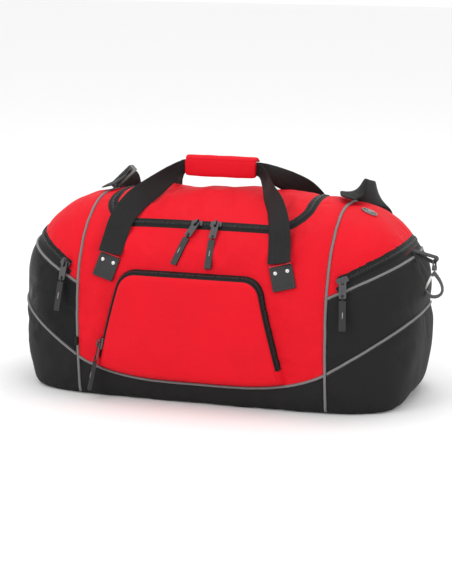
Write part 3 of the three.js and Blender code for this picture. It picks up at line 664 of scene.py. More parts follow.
def stitch_row(surface, name, line, offset, colour):
    """A row of thread stitches beside a line, in the colour of its cloth."""
    points, _, sides = laid(surface, line, STITCH_PITCH)
    places = []
    for p, side, direction in zip(points, sides, along(points)):
        place, normal = surface.lay(p + side * offset)
        places.append((np.array(place), direction, side, np.array(normal)))
    sewing = bars(name, places, STITCH, THREADS[colour])
    finish_piece(sewing, "root")


COIL_PITCH = 1.9 * MM
COIL_TOOTH = (1.35 * MM, 4.6 * MM, 1.3 * MM)  # length, width and height of one tooth


def make_coil(name, points, sides, outs, lift, shift, node):
    """The interlocked coil of a closed zip: alternate teeth, shifted to its two sides."""
    places = []
    for i, (p, side, out, direction) in enumerate(zip(points, sides, outs, along(points))):
        place = p + side * (shift if i % 2 else -shift) + out * lift
        places.append((place, direction, side, out))
    finish_piece(bars(name, places, COIL_TOOTH, coil_plastic), "root", (node,))


def make_zip(surface, name, line, spans, chain):
    """Tape and coil of one zip. spans maps a piece's name to (from, to, body, nodes) across the tape."""
    for piece, (start, end, body, replaced) in spans.items():
        across = np.linspace(start, end, 7)
        edge = np.minimum(across - start, end - across) / (end - start)
        rise = 0.35 * MM + 0.75 * MM * smoothstep(1 - np.abs(across) / (TAPE / 2))
        lifts = np.where(edge > 0, rise, -0.2 * MM)
        strip = skin_strip(surface, piece, line, list(zip(across, lifts)), tape_cloth)
        finish_piece(strip, body, replaced)
    points, normals, sides = laid(surface, line, COIL_PITCH)
    make_coil(f"{name}_coil", points, sides, normals, 0.7 * MM, 0.91 * MM, chain)


# ---- materials ----
class Nodes:
    """A short way to write a node material."""

    def __init__(self, name, colour, roughness, metallic=0.0, **inputs):
        self.material = bpy.data.materials.new(name)
        self.material.use_nodes = True
        self.tree = self.material.node_tree
        self.shader = self.tree.nodes["Principled BSDF"]
        self.shader.inputs["Base Color"].default_value = (*colour, 1)
        self.shader.inputs["Roughness"].default_value = roughness
        self.shader.inputs["Metallic"].default_value = metallic
        self.colour = colour
        for key, value in inputs.items():
            self.shader.inputs[key.replace("_", " ")].default_value = value

    def node(self, kind, **settings):
        node = self.tree.nodes.new(kind)
        for key, value in settings.items():
            setattr(node, key, value)
        return node

    def link(self, source, target):
        self.tree.links.new(source, target)

    def math(self, operation, a, b=None, c=None):
        node = self.node("ShaderNodeMath", operation=operation)
        for socket, value in zip(node.inputs, (a, b, c)):
            if isinstance(value, (int, float)):
                socket.default_value = value
            elif value is not None:
                self.link(value, socket)
        return node.outputs[0]

    def weighted(self, a, share_a, b, share_b):
        return self.math("ADD", self.math("MULTIPLY", a, share_a), self.math("MULTIPLY", b, share_b))

    def uv(self):
        """(along, across) of the cloth, in millimetres."""
        uv = self.node("ShaderNodeUVMap", uv_map="weave")
        parts = self.node("ShaderNodeSeparateXYZ")
        self.link(uv.outputs[0], parts.inputs[0])
        return [self.math("MULTIPLY", part, 1000.0) for part in parts.outputs[:2]]

    def wave(self, value, period, phase=0.0):
        """A sine from 0 to 1 along value."""
        turn = self.math("MULTIPLY_ADD", value, 2 * math.pi / period, phase)
        return self.math("MULTIPLY_ADD", self.math("SINE", turn), 0.5, 0.5)

    def grain(self, scale, detail=3.0):
        """Noise from 0 to 1 in the object's own space; scale is waves per metre."""
        place = self.node("ShaderNodeTexCoord")
        texture = self.node("ShaderNodeTexNoise")
        texture.inputs["Scale"].default_value = scale
        texture.inputs["Detail"].default_value = detail
        self.link(place.outputs["Object"], texture.inputs["Vector"])
        return texture.outputs["Fac"]

    def line(self, value, period, width):
        """1 on thin lines every period, else 0."""
        phase = self.math("PINGPONG", value, period / 2)
        return self.math("LESS_THAN", phase, width / 2)

    def vary_colour(self, factor, dark, light):
        """The base colour times a factor from dark to light."""
        mix = self.node("ShaderNodeMix", data_type="RGBA")
        self.link(factor, mix.inputs["Factor"])
        mix.inputs["A"].default_value = (*[c * dark for c in self.colour], 1)
        mix.inputs["B"].default_value = (*[min(c * light, 1) for c in self.colour], 1)
        self.link(mix.outputs["Result"], self.shader.inputs["Base Color"])

    def vary_roughness(self, factor, low, high):
        self.link(self.math("MULTIPLY_ADD", factor, high - low, low), self.shader.inputs["Roughness"])

    def bump(self, height, distance, strength):
        node = self.node("ShaderNodeBump")
        node.inputs["Distance"].default_value = distance
        node.inputs["Strength"].default_value = strength
        self.link(height, node.inputs["Height"])
        if self.shader.inputs["Normal"].is_linked:
            self.link(self.shader.inputs["Normal"].links[0].from_socket, node.inputs["Normal"])
        self.link(node.outputs[0], self.shader.inputs["Normal"])


def woven(name, colour, roughness, yarn=0.8, grid=0.0, **inputs):
    """Plain woven cloth, with a ripstop grid where grid is its spacing in millimetres."""
    n = Nodes(name, colour, roughness, **inputs)
    u, v = n.uv()
    checker = n.math("MULTIPLY", n.wave(u, yarn), n.wave(v, yarn))
    height = checker
    if grid:
        ribs = n.math("MAXIMUM", n.line(u, grid, 0.55), n.line(v, grid, 0.55))
        height = n.weighted(checker, 0.5, ribs, 0.8)
    n.bump(n.grain(260), 0.0004, 0.35)
    n.bump(height, 0.00018, 0.8)
    patches = n.grain(14, 4.0)
    # Colour: random patches of tone, with the weave's raised yarn and ripstop ribs painted lighter and its
    # hollows painted darker, as painted shade of the relief.
    n.vary_colour(n.weighted(patches, 0.75, height, 0.25), 0.86, 1.12)
    n.vary_roughness(patches, roughness - 0.07, roughness + 0.07)
    return n.material


def herringbone(name, colour, roughness):
    """Webbing: slanted ribs that turn back in rows."""
    n = Nodes(name, colour, roughness, Specular_IOR_Level=0.25)
    u, v = n.uv()
    zigzag = n.math("PINGPONG", v, 4.0)
    slant = n.wave(n.math("ADD", u, n.math("MULTIPLY", zigzag, 1.1)), 1.9)
    height = n.weighted(slant, 0.8, n.wave(v, 1.0), 0.3)
    n.bump(height, 0.00045, 0.9)
    # Colour: random tone mixed with painted shade, the raised ribs painted lighter and the grooves painted
    # darker.
    n.vary_colour(n.weighted(height, 0.5, n.grain(60), 0.5), 0.6, 1.5)
    return n.material


def net(name, colour):
    """Glossy warp-knit mesh with rows of small round holes."""
    n = Nodes(name, colour, 0.42, Specular_IOR_Level=0.15, Coat_Weight=0.05, Coat_Roughness=0.2)
    u, v = n.uv()
    hole = n.math("MULTIPLY", n.wave(n.math("ADD", u, v), 3.4), n.wave(n.math("SUBTRACT", u, v), 3.4))
    solid = n.math("LESS_THAN", hole, 0.72)
    n.link(solid, n.shader.inputs["Alpha"])
    n.bump(n.math("SUBTRACT", 1.0, hole), 0.0007, 1.0)
    n.vary_colour(n.grain(30), 0.6, 1.6)
    return n.material


def metal(name, colour, roughness, wear=0.15):
    n = Nodes(name, colour, roughness, metallic=1.0)
    n.vary_roughness(n.grain(420, 5.0), roughness - wear * 0.5, roughness + wear)
    n.vary_colour(n.grain(150, 4.0), 0.8, 1.15)
    n.bump(n.grain(900, 2.0), 0.00005, 0.3)
    return n.material


def moulded(name, colour, roughness):
    n = Nodes(name, colour, roughness)
    n.bump(n.grain(1800, 2.0), 0.00008, 0.5)
    n.vary_roughness(n.grain(200), roughness - 0.05, roughness + 0.1)
    n.vary_colour(n.grain(90), 0.85, 1.25)
    return n.material


def cord_cloth(name, colour, roughness):
    """Piping: a bias strip of thin cloth, with a slanting weave."""
    n = Nodes(name, colour, roughness, Sheen_Weight=0.1)
    u, v = n.uv()
    n.bump(n.wave(n.math("ADD", u, v), 1.1), 0.00012, 0.7)
    n.vary_colour(n.grain(40), 0.82, 1.15)
    return n.material


def thread(name, colour):
    n = Nodes(name, colour, 0.6, Sheen_Weight=0.2)
    n.vary_colour(n.grain(500), 0.8, 1.2)
    return n.material


RED = (0.74, 0.0055, 0.017)
BLACK = (0.015, 0.015, 0.0155)
MATT = 0.13  # how much of the usual surface gleam a woven cloth shows
red_cloth = woven("red_cloth", RED, 0.62, grid=5.0, Specular_IOR_Level=MATT)
black_cloth = woven("black_cloth", BLACK, 0.6, yarn=1.1, Specular_IOR_Level=MATT)
lining = woven("lining", (0.03, 0.03, 0.032), 0.5, yarn=1.5)
mesh_net = net("black_mesh", (0.006, 0.006, 0.0065))
piping_cloth = cord_cloth("grey_piping", (0.17, 0.165, 0.165), 0.5)
webbing = herringbone("black_webbing", (0.011, 0.011, 0.0115), 0.6)
tape_cloth = woven("zip_tape", (0.011, 0.011, 0.011), 0.5, yarn=0.9, Specular_IOR_Level=MATT)
coil_plastic = moulded("coil", (0.02, 0.02, 0.021), 0.26)
gunmetal = metal("gunmetal", (0.11, 0.11, 0.115), 0.34)
pewter = metal("pewter", (0.3, 0.3, 0.29), 0.4)
nickel = metal("nickel", (0.72, 0.71, 0.69), 0.2)
rubber = moulded("rubber", (0.013, 0.013, 0.014), 0.5)
buckle_plastic = moulded("buckle", (0.045, 0.045, 0.047), 0.3)
board_plastic = moulded("board", (0.05, 0.05, 0.05), 0.6)
red_thread = thread("red_thread", (0.62, 0.006, 0.015))
black_thread = thread("black_thread", (0.03, 0.03, 0.032))
THREADS = {"red": red_thread, "black": black_thread}
enamel = moulded("badge_enamel", (0.02, 0.02, 0.022), 0.25)
loop_cloth = moulded("loop_cloth", (0.02, 0.02, 0.021), 0.7)
patch_cloth = moulded("patch_leather", (0.012, 0.012, 0.0125), 0.55)


# ---- the skin's pieces ----
GIRTH_RADIUS = 165 * MM  # a middling radius of the skin about the bag's long axis
PLAN_RADIUS = 190 * MM  # and of an end's skin about an upright line inside it


def cloth_uv(co):
    """(along, across) over the cloth: round the bag's girth, or round its plan low on the ends."""
    x, y, z = co.T
    girth = np.arctan2(y, z - DEEPEST_AT) * GIRTH_RADIUS
    plan = np.arctan2(y, np.abs(x) - SEAM * 0.5) * PLAN_RADIUS
    low_end = (np.abs(x) > SEAM - 0.5 * MM) & (z < upper_line(x) + 1 * MM)
    return np.column_stack([np.where(low_end, plan, x), np.where(low_end, z, girth)])


# Each piece of the skin: its name, its slot and the node that it stands for.
SKIN = {
    "base": ("base_skin", "black_cloth", "base_panel"),
    "front": ("front_skin", "red_cloth", "front_panel"),
    "rear": ("rear_skin", "red_cloth", "rear_panel"),
    "lid": ("lid_skin", "red_cloth", "lid_panel"),
    "end_top_left": ("end_top_skin_left", "red_cloth", "end_top_left"),
    "end_top_right": ("end_top_skin_right", "red_cloth", "end_top_right"),
    "end_pocket_left": ("mesh_pocket_skin_left", "black_mesh", "mesh_pocket_left"),
    "end_pocket_right": ("end_pocket_skin_right", "black_cloth", "end_pocket_right"),
    "end_lower_left": ("end_lower_skin_left", "black_cloth", "end_lower_left"),
    "end_lower_right": ("end_lower_skin_right", "black_cloth", "end_lower_right"),
}
CLOTHS = {"red_cloth": red_cloth, "black_cloth": black_cloth, "black_mesh": mesh_net}


def make_skin_pieces(parts):
    for key, (name, slot, node) in SKIN.items():
        co, faces = parts[key]
        co = np.array(co)
        obj = make_object(name, co, faces, CLOTHS[slot])
        add_uv(obj, cloth_uv(co))
        as_cloth(obj, backed=slot != "black_mesh")
        if key == "lid":
            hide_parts(node)
            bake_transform(obj)
        else:
            finish_piece(obj, "root", (node,))


# ---- seams, piping and zips ----
def make_piping(surface):
    radius = PIPING / 2
    tube = [(radius * math.cos(a), 0.9 * MM + radius * math.sin(a)) for a in circle_turns(10)]

    def pipe(name, line, replaced):
        points, normals, sides = laid(surface, line, TRIM_STEP)
        obj = swept(name, points, sides, normals, tube, piping_cloth)
        finish_piece(obj, "root", replaced)

    for side, sign in SIDES:
        pipe(f"ring_piping_{side}", surface.ring_line(sign * SEAM), (f"piping_ring_{side}",))
        low = surface.end_line(lower_line, sign)
        high = surface.end_line(upper_line, sign)
        pipe(f"end_lower_piping_{side}", low, (f"piping_end_lower_{side}",))
        pipe(f"end_upper_piping_{side}", high, (f"piping_end_upper_{side}",))
    for name, facing in (("front", -1), ("rear", 1)):
        pipe(f"lower_piping_{name}", surface.base_line(facing), (f"piping_lower_{name}",))


def make_stitching(surface):
    offset = PIPING / 2 + 1.7 * MM
    for side, sign in SIDES:
        red_from = float(lower_line(sign * SEAM)) + 4 * MM
        ring = [place for place in surface.ring_line(sign * SEAM) if place.z > red_from]
        stitch_row(surface, f"ring_stitches_{side}", ring, -sign * offset, "red")
        high = surface.end_line(upper_line, sign)
        stitch_row(surface, f"end_stitches_{side}", high, offset, "black")
        stitch_row(surface, f"end_stitches_under_{side}", high, -offset, "black")
        low = surface.end_line(lower_line, sign)
        stitch_row(surface, f"end_low_stitches_{side}", low, offset, "black")
    stitch_row(surface, "front_low_stitches", surface.base_line(-1), -offset, "red")
    stitch_row(surface, "rear_low_stitches", surface.base_line(1), offset, "red")
    reach = SEAM - 5 * MM
    hinge = surface.roof_line([(x, LID_HINGE_Y + 4 * MM) for x in np.linspace(-reach, reach, 60)])
    stitch_row(surface, "hinge_stitches", hinge, 0, "red")


def lid_outline():
    """The main zip's middle line in plan, from its left rear end round the front to the right."""
    left = MIDDLE - LID_HALF_LENGTH
    right = MIDDLE + LID_HALF_LENGTH
    front = -LID_FRONT + LID_CORNER
    corner = np.radians(np.linspace(0, 90, 24))
    radius = LID_CORNER
    points = [(left, y) for y in np.linspace(LID_HINGE_Y, front, 40)]
    points += [(left + radius * (1 - math.cos(a)), front - radius * math.sin(a)) for a in corner[1:]]
    points += [(x, -LID_FRONT) for x in np.linspace(left + radius, right - radius, 60)[1:]]
    points += [(right - radius * (1 - math.sin(a)), front - radius * math.cos(a)) for a in corner[1:]]
    points += [(right, y) for y in np.linspace(front, LID_HINGE_Y, 40)[1:]]
    return points


def make_main_zip(surface):
    line = surface.roof_line(lid_outline())
    half = TAPE / 2
    spans = {
        "main_zip_body_side": (-0.2 * MM, half, "root", ("main_zip_body_tape",)),
        "main_zip_lid_side": (-half, -0.2 * MM, "lid", ("main_zip_lid_tape",)),
    }
    make_zip(surface, "main_zip", line, spans, "main_zip_chain")


END_ZIP_FROM = 214 * MM  # where an end's zip starts on the front and rear walls, along X


def make_end_zips(surface):
    for side, sign in SIDES:
        line = surface.end_line(end_zip_line, sign, END_ZIP_FROM)
        name = f"end_zip_{side}"
        spans = {f"{name}_band": (-TAPE / 2, TAPE / 2, "root", ())}
        make_zip(surface, name, line, spans, f"end_zip_chain_{side}")
        trim_line = surface.end_line(lambda x: upper_line(x) + 5 * MM, sign, END_ZIP_FROM)
        edges = [(a * MM, 0.3 * MM if abs(a) < 6 else -0.2 * MM) for a in (-6.4, -5.6, -2, 2, 5.6, 6.4)]
        trim = skin_strip(surface, f"end_zip_trim_{side}", trim_line, edges, black_cloth)
        finish_piece(trim, "root", (f"end_zip_tape_{side}",))


# ---- the front pocket ----
def wall_depth(x, z):
    n, m = plan_powers(z)
    rest = np.clip(1 - np.abs(x / half_length(z)) ** n, 0, None)
    return half_depth(z) * rest ** (1 / m)


def front_normal(x, z):
    step = 2 * MM
    along_x = Vector((2 * step, float(wall_depth(x - step, z) - wall_depth(x + step, z)), 0))
    along_z = Vector((0, float(wall_depth(x, z - step) - wall_depth(x, z + step)), 2 * step))
    return along_x.cross(along_z).normalized()


def on_front(x, z, proud):
    return Vector((x, -float(wall_depth(x, z)), z)) + front_normal(x, z) * proud


POCKET_FOOT_LIFT = 3.3 * MM  # height of the pocket's foot above the base's seam
POCKET_FOOT_FADE = 14 * MM  # height over which the pocket rises from its foot to its full depth
GUSSET_TOP = 11.3 * MM  # depth of the pocket's band
ZIP_ENDS_AT = 66 * MM  # height at which the pocket's zip stops on each leg


def pocket_arch():
    """The pocket's edge in XZ from its left foot over the top to its right foot."""
    turns = np.radians(np.linspace(10, 90, 16))
    arc_z = POCKET_TOP - POCKET_CORNER + POCKET_CORNER * np.sin(turns)
    points = []
    for sign in (-1, 1):
        corner_x = POCKET_MIDDLE + sign * (POCKET_HALF_TOP - POCKET_CORNER)
        foot_x = POCKET_MIDDLE + sign * POCKET_HALF_FOOT
        foot = np.array([foot_x, 0, lower_line(foot_x) + POCKET_FOOT_LIFT])
        arc_x = corner_x + sign * POCKET_CORNER * np.cos(turns)
        arc = list(np.column_stack([arc_x, np.zeros_like(turns), arc_z]))
        leg = [foot + (arc[0] - foot) * t for t in np.linspace(0, 1, 40)[:-1]]
        half = leg + arc
        points += half if sign < 0 else half[::-1]
    return even_line(points, TRIM_STEP)


def pocket_outward(arch):
    """Unit directions away from the pocket in XZ along its arch."""
    step = along(arch)
    return np.column_stack([-step[:, 2], np.zeros(len(step)), step[:, 0]])


def pocket_foot(x0, x1):
    xs = np.linspace(x0, x1, 76)[1:-1]
    return np.column_stack([xs, np.zeros_like(xs), lower_line(xs) + POCKET_FOOT_LIFT])


def foot_fade(x, z):
    """0 at the pocket's sewn foot, 1 a little above it."""
    t = np.clip((z - lower_line(x) - POCKET_FOOT_LIFT) / POCKET_FOOT_FADE, 0, 1)
    return np.sqrt(1 - (1 - t) ** 2)


POCKET_BULGE = 5.5 * MM  # how much further the middle of the pocket stands out
POCKET_SLANT = 0.6  # how far the pocket's band leans in for each unit that it stands out
SLANT_AT = 6 * MM  # height of the band at which the pocket has its stated outline


def pocket_place(x, z, height):
    """A point of the pocket, height in front of the front panel."""
    return np.column_stack([x, -wall_depth(x, z) - height, z])


def leaned(points, outward, height):
    """Points of the pocket's outline, moved in as the slanted band rises."""
    return points - outward * (POCKET_SLANT * (height - SLANT_AT))[:, None]


# Sizes of the rings of the pocket's panel, as shares of its outline, from the rim to the middle.
PANEL_RINGS = (
    1, 1, 0.99, 0.975, 0.955, 0.93, 0.9, 0.86, 0.81,
    0.75, 0.68, 0.6, 0.51, 0.41, 0.3, 0.19, 0.08,
)
RIM_DROP = 1.2 * MM  # how far the panel's outermost ring is turned back


def gap_to_outline(points, outline):
    """Distance from each point to the closed outline."""
    segment = np.roll(outline, -1, axis=0) - outline
    offset = points[:, None] - outline[None]
    t = np.clip((offset * segment).sum(-1) / (segment**2).sum(-1), 0, 1)
    return np.linalg.norm(offset - segment * t[..., None], axis=-1).min(axis=1)


def panel_height(ring, edge):
    """The pocket's height at points that lie edge inside its outline, and the waves of its cloth."""
    round_off = np.sqrt(1 - (1 - np.clip(edge / (7 * MM), 0, 1)) ** 2)
    bulge = POCKET_BULGE * smoothstep(edge / (75 * MM))
    waves = np.array([noise.noise(Vector((x * 14, 3, z * 11))) for x, _, z in ring]) * 1.5 * MM
    height = GUSSET_TOP + (POCKET_DEEP - GUSSET_TOP) * round_off + bulge
    return height, waves * smoothstep(edge / (25 * MM)) + 0.4 * MM


def make_pocket_panel():
    arch = pocket_arch()
    outward = pocket_outward(arch)
    rim_height = GUSSET_TOP * foot_fade(arch[:, 0], arch[:, 2])
    rim = leaned(arch, outward, np.maximum(rim_height, SLANT_AT))
    rim[:, 2] = np.maximum(rim[:, 2], lower_line(rim[:, 0]) + POCKET_FOOT_LIFT)
    outline = np.vstack([rim, pocket_foot(rim[-1, 0], rim[0, 0])])
    centre = np.array([POCKET_MIDDLE, 0, 112 * MM])
    count = len(outline)
    verts = []
    for level, share in enumerate(PANEL_RINGS):
        ring = centre + (outline - centre) * share
        height, waves = panel_height(ring, gap_to_outline(ring, outline))
        if level == 0:
            height = height - RIM_DROP
        height = height * foot_fade(ring[:, 0], ring[:, 2]) + waves
        verts.append(pocket_place(ring[:, 0], ring[:, 2], height))
    top = pocket_place(centre[:1], centre[2:], np.array([POCKET_DEEP + POCKET_BULGE]))
    verts = np.vstack(verts + [top])
    faces = [tuple(reversed(face)) for face in grid_faces(len(PANEL_RINGS), count, closed=True)]
    last = (len(PANEL_RINGS) - 1) * count
    faces += [(last + i, len(verts) - 1, last + (i + 1) % count) for i in range(count)]
    obj = make_object("front_pocket_skin", verts, faces, red_cloth)
    add_uv(obj, verts[:, [0, 2]])
    as_cloth(obj)
    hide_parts("front_pocket_panel")
    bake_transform(obj)
    return arch


def make_pocket_gusset(arch):
    """The slanted band round the pocket, black where the zip is and red below it, and the zip's coil."""
    outward = pocket_outward(arch)
    fade = np.maximum(foot_fade(arch[:, 0], arch[:, 2]), 0.05)
    band_profile = np.array([(-1.5, 0), (1.5, 0.3), (4.6, 0.7), (8.0, 0.9), (10.6, 0.6), (12.0, -0.3)]) * MM
    verts = []
    for height, lift in band_profile:
        heights = height * fade
        place = leaned(arch, outward, heights) + outward * lift
        verts.append(pocket_place(place[:, 0], place[:, 2], heights + lift * POCKET_SLANT))
    grid = np.stack(verts, axis=1)
    first, last = np.flatnonzero(arch[:, 2] > ZIP_ENDS_AT)[[0, -1]]

    def band(name, start, end, material, replaced=()):
        part = grid[start : end + 1]
        rows, count = part.shape[:2]
        obj = make_object(name, part.reshape(-1, 3), grid_faces(rows, count), material)
        add_uv(obj, [(r * TRIM_STEP, i * 3 * MM) for r in range(rows) for i in range(count)])
        finish_piece(obj, "root", replaced)

    band("front_pocket_zip_band", first, last, tape_cloth, ("front_pocket_gusset",))
    band("front_pocket_foot_left", 0, first, red_cloth)
    band("front_pocket_foot_right", last, len(arch) - 1, red_cloth)
    zipped = grid[first : last + 1]
    points = even_line(zipped[:, 2:4].mean(axis=1), COIL_PITCH)
    at = np.linspace(0, len(zipped) - 1, len(points))
    across = unit(resampled(zipped[:, 3] - zipped[:, 2], at))
    outs = np.cross(across, along(points))
    away = points - np.array([POCKET_MIDDLE, 0, 110 * MM])
    outs *= np.sign((outs * away).sum(axis=1))[:, None]
    make_coil("front_pocket_coil", points, across, outs, 0.1 * MM, 0.77 * MM, "front_pocket_zip_chain")


# ---- webbing ----
def spline(stops, steps):
    """Centripetal Catmull-Rom curve through the stops."""
    p = np.asarray(stops, float)
    p = np.vstack([2 * p[0] - p[1], p, 2 * p[-1] - p[-2]])
    out = []
    for i in range(steps + 1):
        at = (len(p) - 3) * i / steps
        k = min(int(at), len(p) - 4)
        w = at - k
        p0, p1, p2, p3 = p[k : k + 4]
        d0, d1, d2 = np.linalg.norm(np.diff(p[k : k + 4], axis=0), axis=1) ** 0.5
        m1 = ((p1 - p0) / d0 - (p2 - p0) / (d0 + d1) + (p2 - p1) / d1) * d1
        m2 = ((p2 - p1) / d1 - (p3 - p1) / (d1 + d2) + (p3 - p2) / d2) * d1
        w2, w3 = w * w, w * w * w
        ends = (2 * w3 - 3 * w2 + 1) * p1 + (3 * w2 - 2 * w3) * p2
        out.append(ends + (w3 - 2 * w2 + w) * m1 + (w3 - w2) * m2)
    return np.array(out)


def band_section(width, thick, cup, columns=10):
    """A strap's section: flat with rounded selvedges, and its middle raised by cup."""
    half = width / 2
    across = np.linspace(-half, half, columns)
    rise = cup * (1 - (across / half) ** 2)
    edge = np.where(np.abs(across) > half * 0.999, 0.35, 1.0)
    top = np.column_stack([across, rise + thick / 2 * edge])
    bottom = np.column_stack([across, rise - thick / 2 * edge])[::-1]
    return np.vstack([top, bottom])


WEBBING_THICK = 1.9 * MM


def strap(name, stops, steps, cup, body, node):
    """A webbing band. Each stop is (x, y, z, width direction x, y, z, width) in millimetres."""
    stops = np.asarray(stops, float)
    places = spline(stops[:, :3] * MM, steps)
    rest = resampled(stops[:, 3:], np.linspace(0, len(stops) - 1, steps + 1))
    wide, widths = rest[:, :3].copy(), rest[:, 3] * MM
    for _ in range(4):
        wide[1:-1] = (wide[:-2] + 2 * wide[1:-1] + wide[2:]) / 4
    step = along(places)
    wide -= step * (wide * step).sum(axis=1)[:, None]
    wide = unit(wide)
    out = np.cross(step, wide)
    sections = np.array([band_section(width, WEBBING_THICK, cup(width)) for width in widths])
    obj = swept(name, places, wide, out, sections, webbing)
    smooth_once(obj)
    finish_piece(obj, body, (node,))


HAND_WIDTH = 21
HANDLE_RISE = [
    (-136, -146, 231, 1, 0, -0.25),
    (-133, -132, 252, 1, 0.05, -0.3),
    (-127, -114, 281, 1, 0.1, -0.45),
    (-113, -86, 306, 0.85, 0.3, -0.65),
    (-93, -56, 324, 0.6, 0.35, -0.9),
    (-77, -24, 339, 0.3, 0.2, -1),
    (-64, -6, 349, 0.03, 0, -1),
]
HANDLE_WIDTHS = (38, 38, 38, 38, 35, 29, HAND_WIDTH)


def handle_stops(turn):
    """The front handle's stops, or the rear one's with turn = -1."""
    middle = MIDDLE / MM
    left = [(middle + x, *rest, width) for (x, *rest), width in zip(HANDLE_RISE, HANDLE_WIDTHS)]
    hand = [(middle + x, -4, 350, 0, 0, -1, HAND_WIDTH) for x in (-54, 0, 54)]
    right = [(2 * middle - x, y, z, -wx, *rest) for x, y, z, wx, *rest in left[::-1]]
    stops = left + hand + right
    if turn > 0:
        return stops
    return [(2 * middle - x, -y, z, -wx, -wy, wz, w) for x, y, z, wx, wy, wz, w in stops]


def fold_cup(width):
    """The strap cups where it narrows towards the grip."""
    return (WEBBING - width) * (width - HAND_WIDTH * MM) * 42


def make_handles():
    for face, turn in FACES:
        name = f"{face}_handle"
        strap(f"{name}_webbing", handle_stops(turn), 260, fold_cup, name, name)


def patch_frame(side, turn):
    """Matrix of a handle patch: X across, Y up the strap, Z out of the cloth."""
    x = MIDDLE + side * PATCH["x"]
    lean = math.radians(PATCH["lean"]) * side
    out = front_normal(x, PATCH["z"])
    up = Vector((-math.sin(lean), 0, math.cos(lean)))
    matrix = facing(on_front(x, PATCH["z"], PATCH["proud"]), out, up)
    if turn > 0:
        return matrix
    middle = Matrix.Translation((MIDDLE, 0, 0))
    return middle @ Matrix.Rotation(math.pi, 4, "Z") @ middle.inverted() @ matrix


def patch_rings():
    """Rings of a patch's leather, with round corners and a bevelled top edge."""
    corner, bevel = PATCH["corner"], PATCH["bevel"]
    top = PATCH["thick"] / 2
    rings = []
    for inset, z in ((0, -top), (0, top - bevel), (bevel * 0.3, top - bevel * 0.3), (bevel, top)):
        ring = []
        radius = corner - inset * 0.5
        half_w = PATCH["width"] / 2 - corner - inset * 0.5
        half_h = PATCH["height"] / 2 - corner - inset * 0.5
        for k, (sx, sy) in enumerate(((1, 1), (-1, 1), (-1, -1), (1, -1))):
            for a in np.radians(np.linspace(0, 90, 5)) + k * math.pi / 2:
                ring.append((sx * half_w + radius * math.cos(a), sy * half_h + radius * math.sin(a), z))
        rings.append(ring)
    return rings


def rings_object(name, rings, material):
    verts = [p for ring in rings for p in ring]
    return make_object(name, verts, tube_faces(len(rings), len(rings[0])), material)


def oval(half_x, half_y, height, count):
    return [(half_x * math.cos(a), half_y * math.sin(a), height) for a in circle_turns(count)]


def dome(radius, height):
    """Rings of a low dome that stands a little into what is below it."""
    turns = np.radians(np.arange(0, 90, 15))
    levels = [(1, -0.6 * MM)] + [(math.cos(turn), height * math.sin(turn)) for turn in turns]
    return [oval(radius * share, radius * share, z, 24) for share, z in levels]


PATCH_STITCH = (2.4 * MM, 0.7 * MM, 0.35 * MM)
PATCH_STITCH_PITCH = 3.4 * MM
PATCH_EDGE = (34 * MM, 1.8 * MM, 0.9 * MM)  # the red edge above a patch
RIVET_APART = 19 * MM
RIVET_UP = 9 * MM


def patch_stitches():
    """Places of the stitches round a patch, in its own frame."""
    inset = 2.6 * MM
    half_w = PATCH["width"] / 2 - inset
    half_h = PATCH["height"] / 2 - inset
    places = []
    for forward, across, reach, edge in ((Y, X, half_h, half_w), (X, Y, half_w, half_h)):
        for a in np.arange(-reach, reach, PATCH_STITCH_PITCH):
            for side in (-1, 1):
                place = forward * a + across * side * edge + Z * PATCH["thick"] / 2
                places.append((place, forward, across, Z))
    return places


def make_patches():
    edge = Y * (PATCH["height"] / 2 + 1 * MM) + Z * 0.6 * MM
    for face, turn in FACES:
        for side, sign in SIDES[::turn]:
            name = f"{face}_patch_{side}"
            matrix = patch_frame(sign * turn, turn)

            def fasten(obj, replaced=(), offset=(0, 0, 0)):
                obj.matrix_world = matrix @ Matrix.Translation(offset)
                finish_piece(obj, "root", replaced)

            fasten(rings_object(f"{name}_leather", patch_rings(), patch_cloth), (name,))
            fasten(bars(f"{name}_stitches", patch_stitches(), PATCH_STITCH, black_thread))
            fasten(bars(f"{name}_red_edge", [(edge, X, Y, Z)], PATCH_EDGE, red_thread))
            for k, s in enumerate((-1, 1)):
                rivet = rings_object(f"{name}_rivet_{k}", dome(3.3 * MM, 1.5 * MM), nickel)
                fasten(rivet, offset=(s * RIVET_APART / 2, RIVET_UP, PATCH["thick"] / 2))


# ---- the grip wrap ----
def cushion(name, outline, length, waves):
    """A padded sleeve along X: outline is its section in (y, z), its ends drawn in and rolled."""
    middle = outline.mean(axis=0)
    rings, uvs = [], []
    for t in np.linspace(-1, 1, 41):
        x = MIDDLE + t * length / 2
        draw = 1 - 0.16 * abs(t) ** 14 - 0.02 * math.cos(9 * t)
        ring = []
        for k, (y, z) in enumerate(outline):
            ripple = waves * noise.noise(Vector((x * 60, y * 45, z * 45)))
            out = np.array([y, z]) - middle
            out = out * draw + out / (np.linalg.norm(out) + 1e-9) * ripple
            ring.append((x, middle[0] + out[0], middle[1] + out[1]))
            uvs.append((x, k * 4 * MM))
        rings.append(ring)
    obj = rings_object(name, rings, red_cloth)
    add_uv(obj, uvs)
    smooth_once(obj)
    return obj


def rounded_section(y0, y1, z0, z1, power):
    y, z = superellipse(circle_turns(28), power, power)
    return np.column_stack([(y0 + y1) / 2 + (y1 - y0) / 2 * y, (z0 + z1) / 2 + (z1 - z0) / 2 * z])


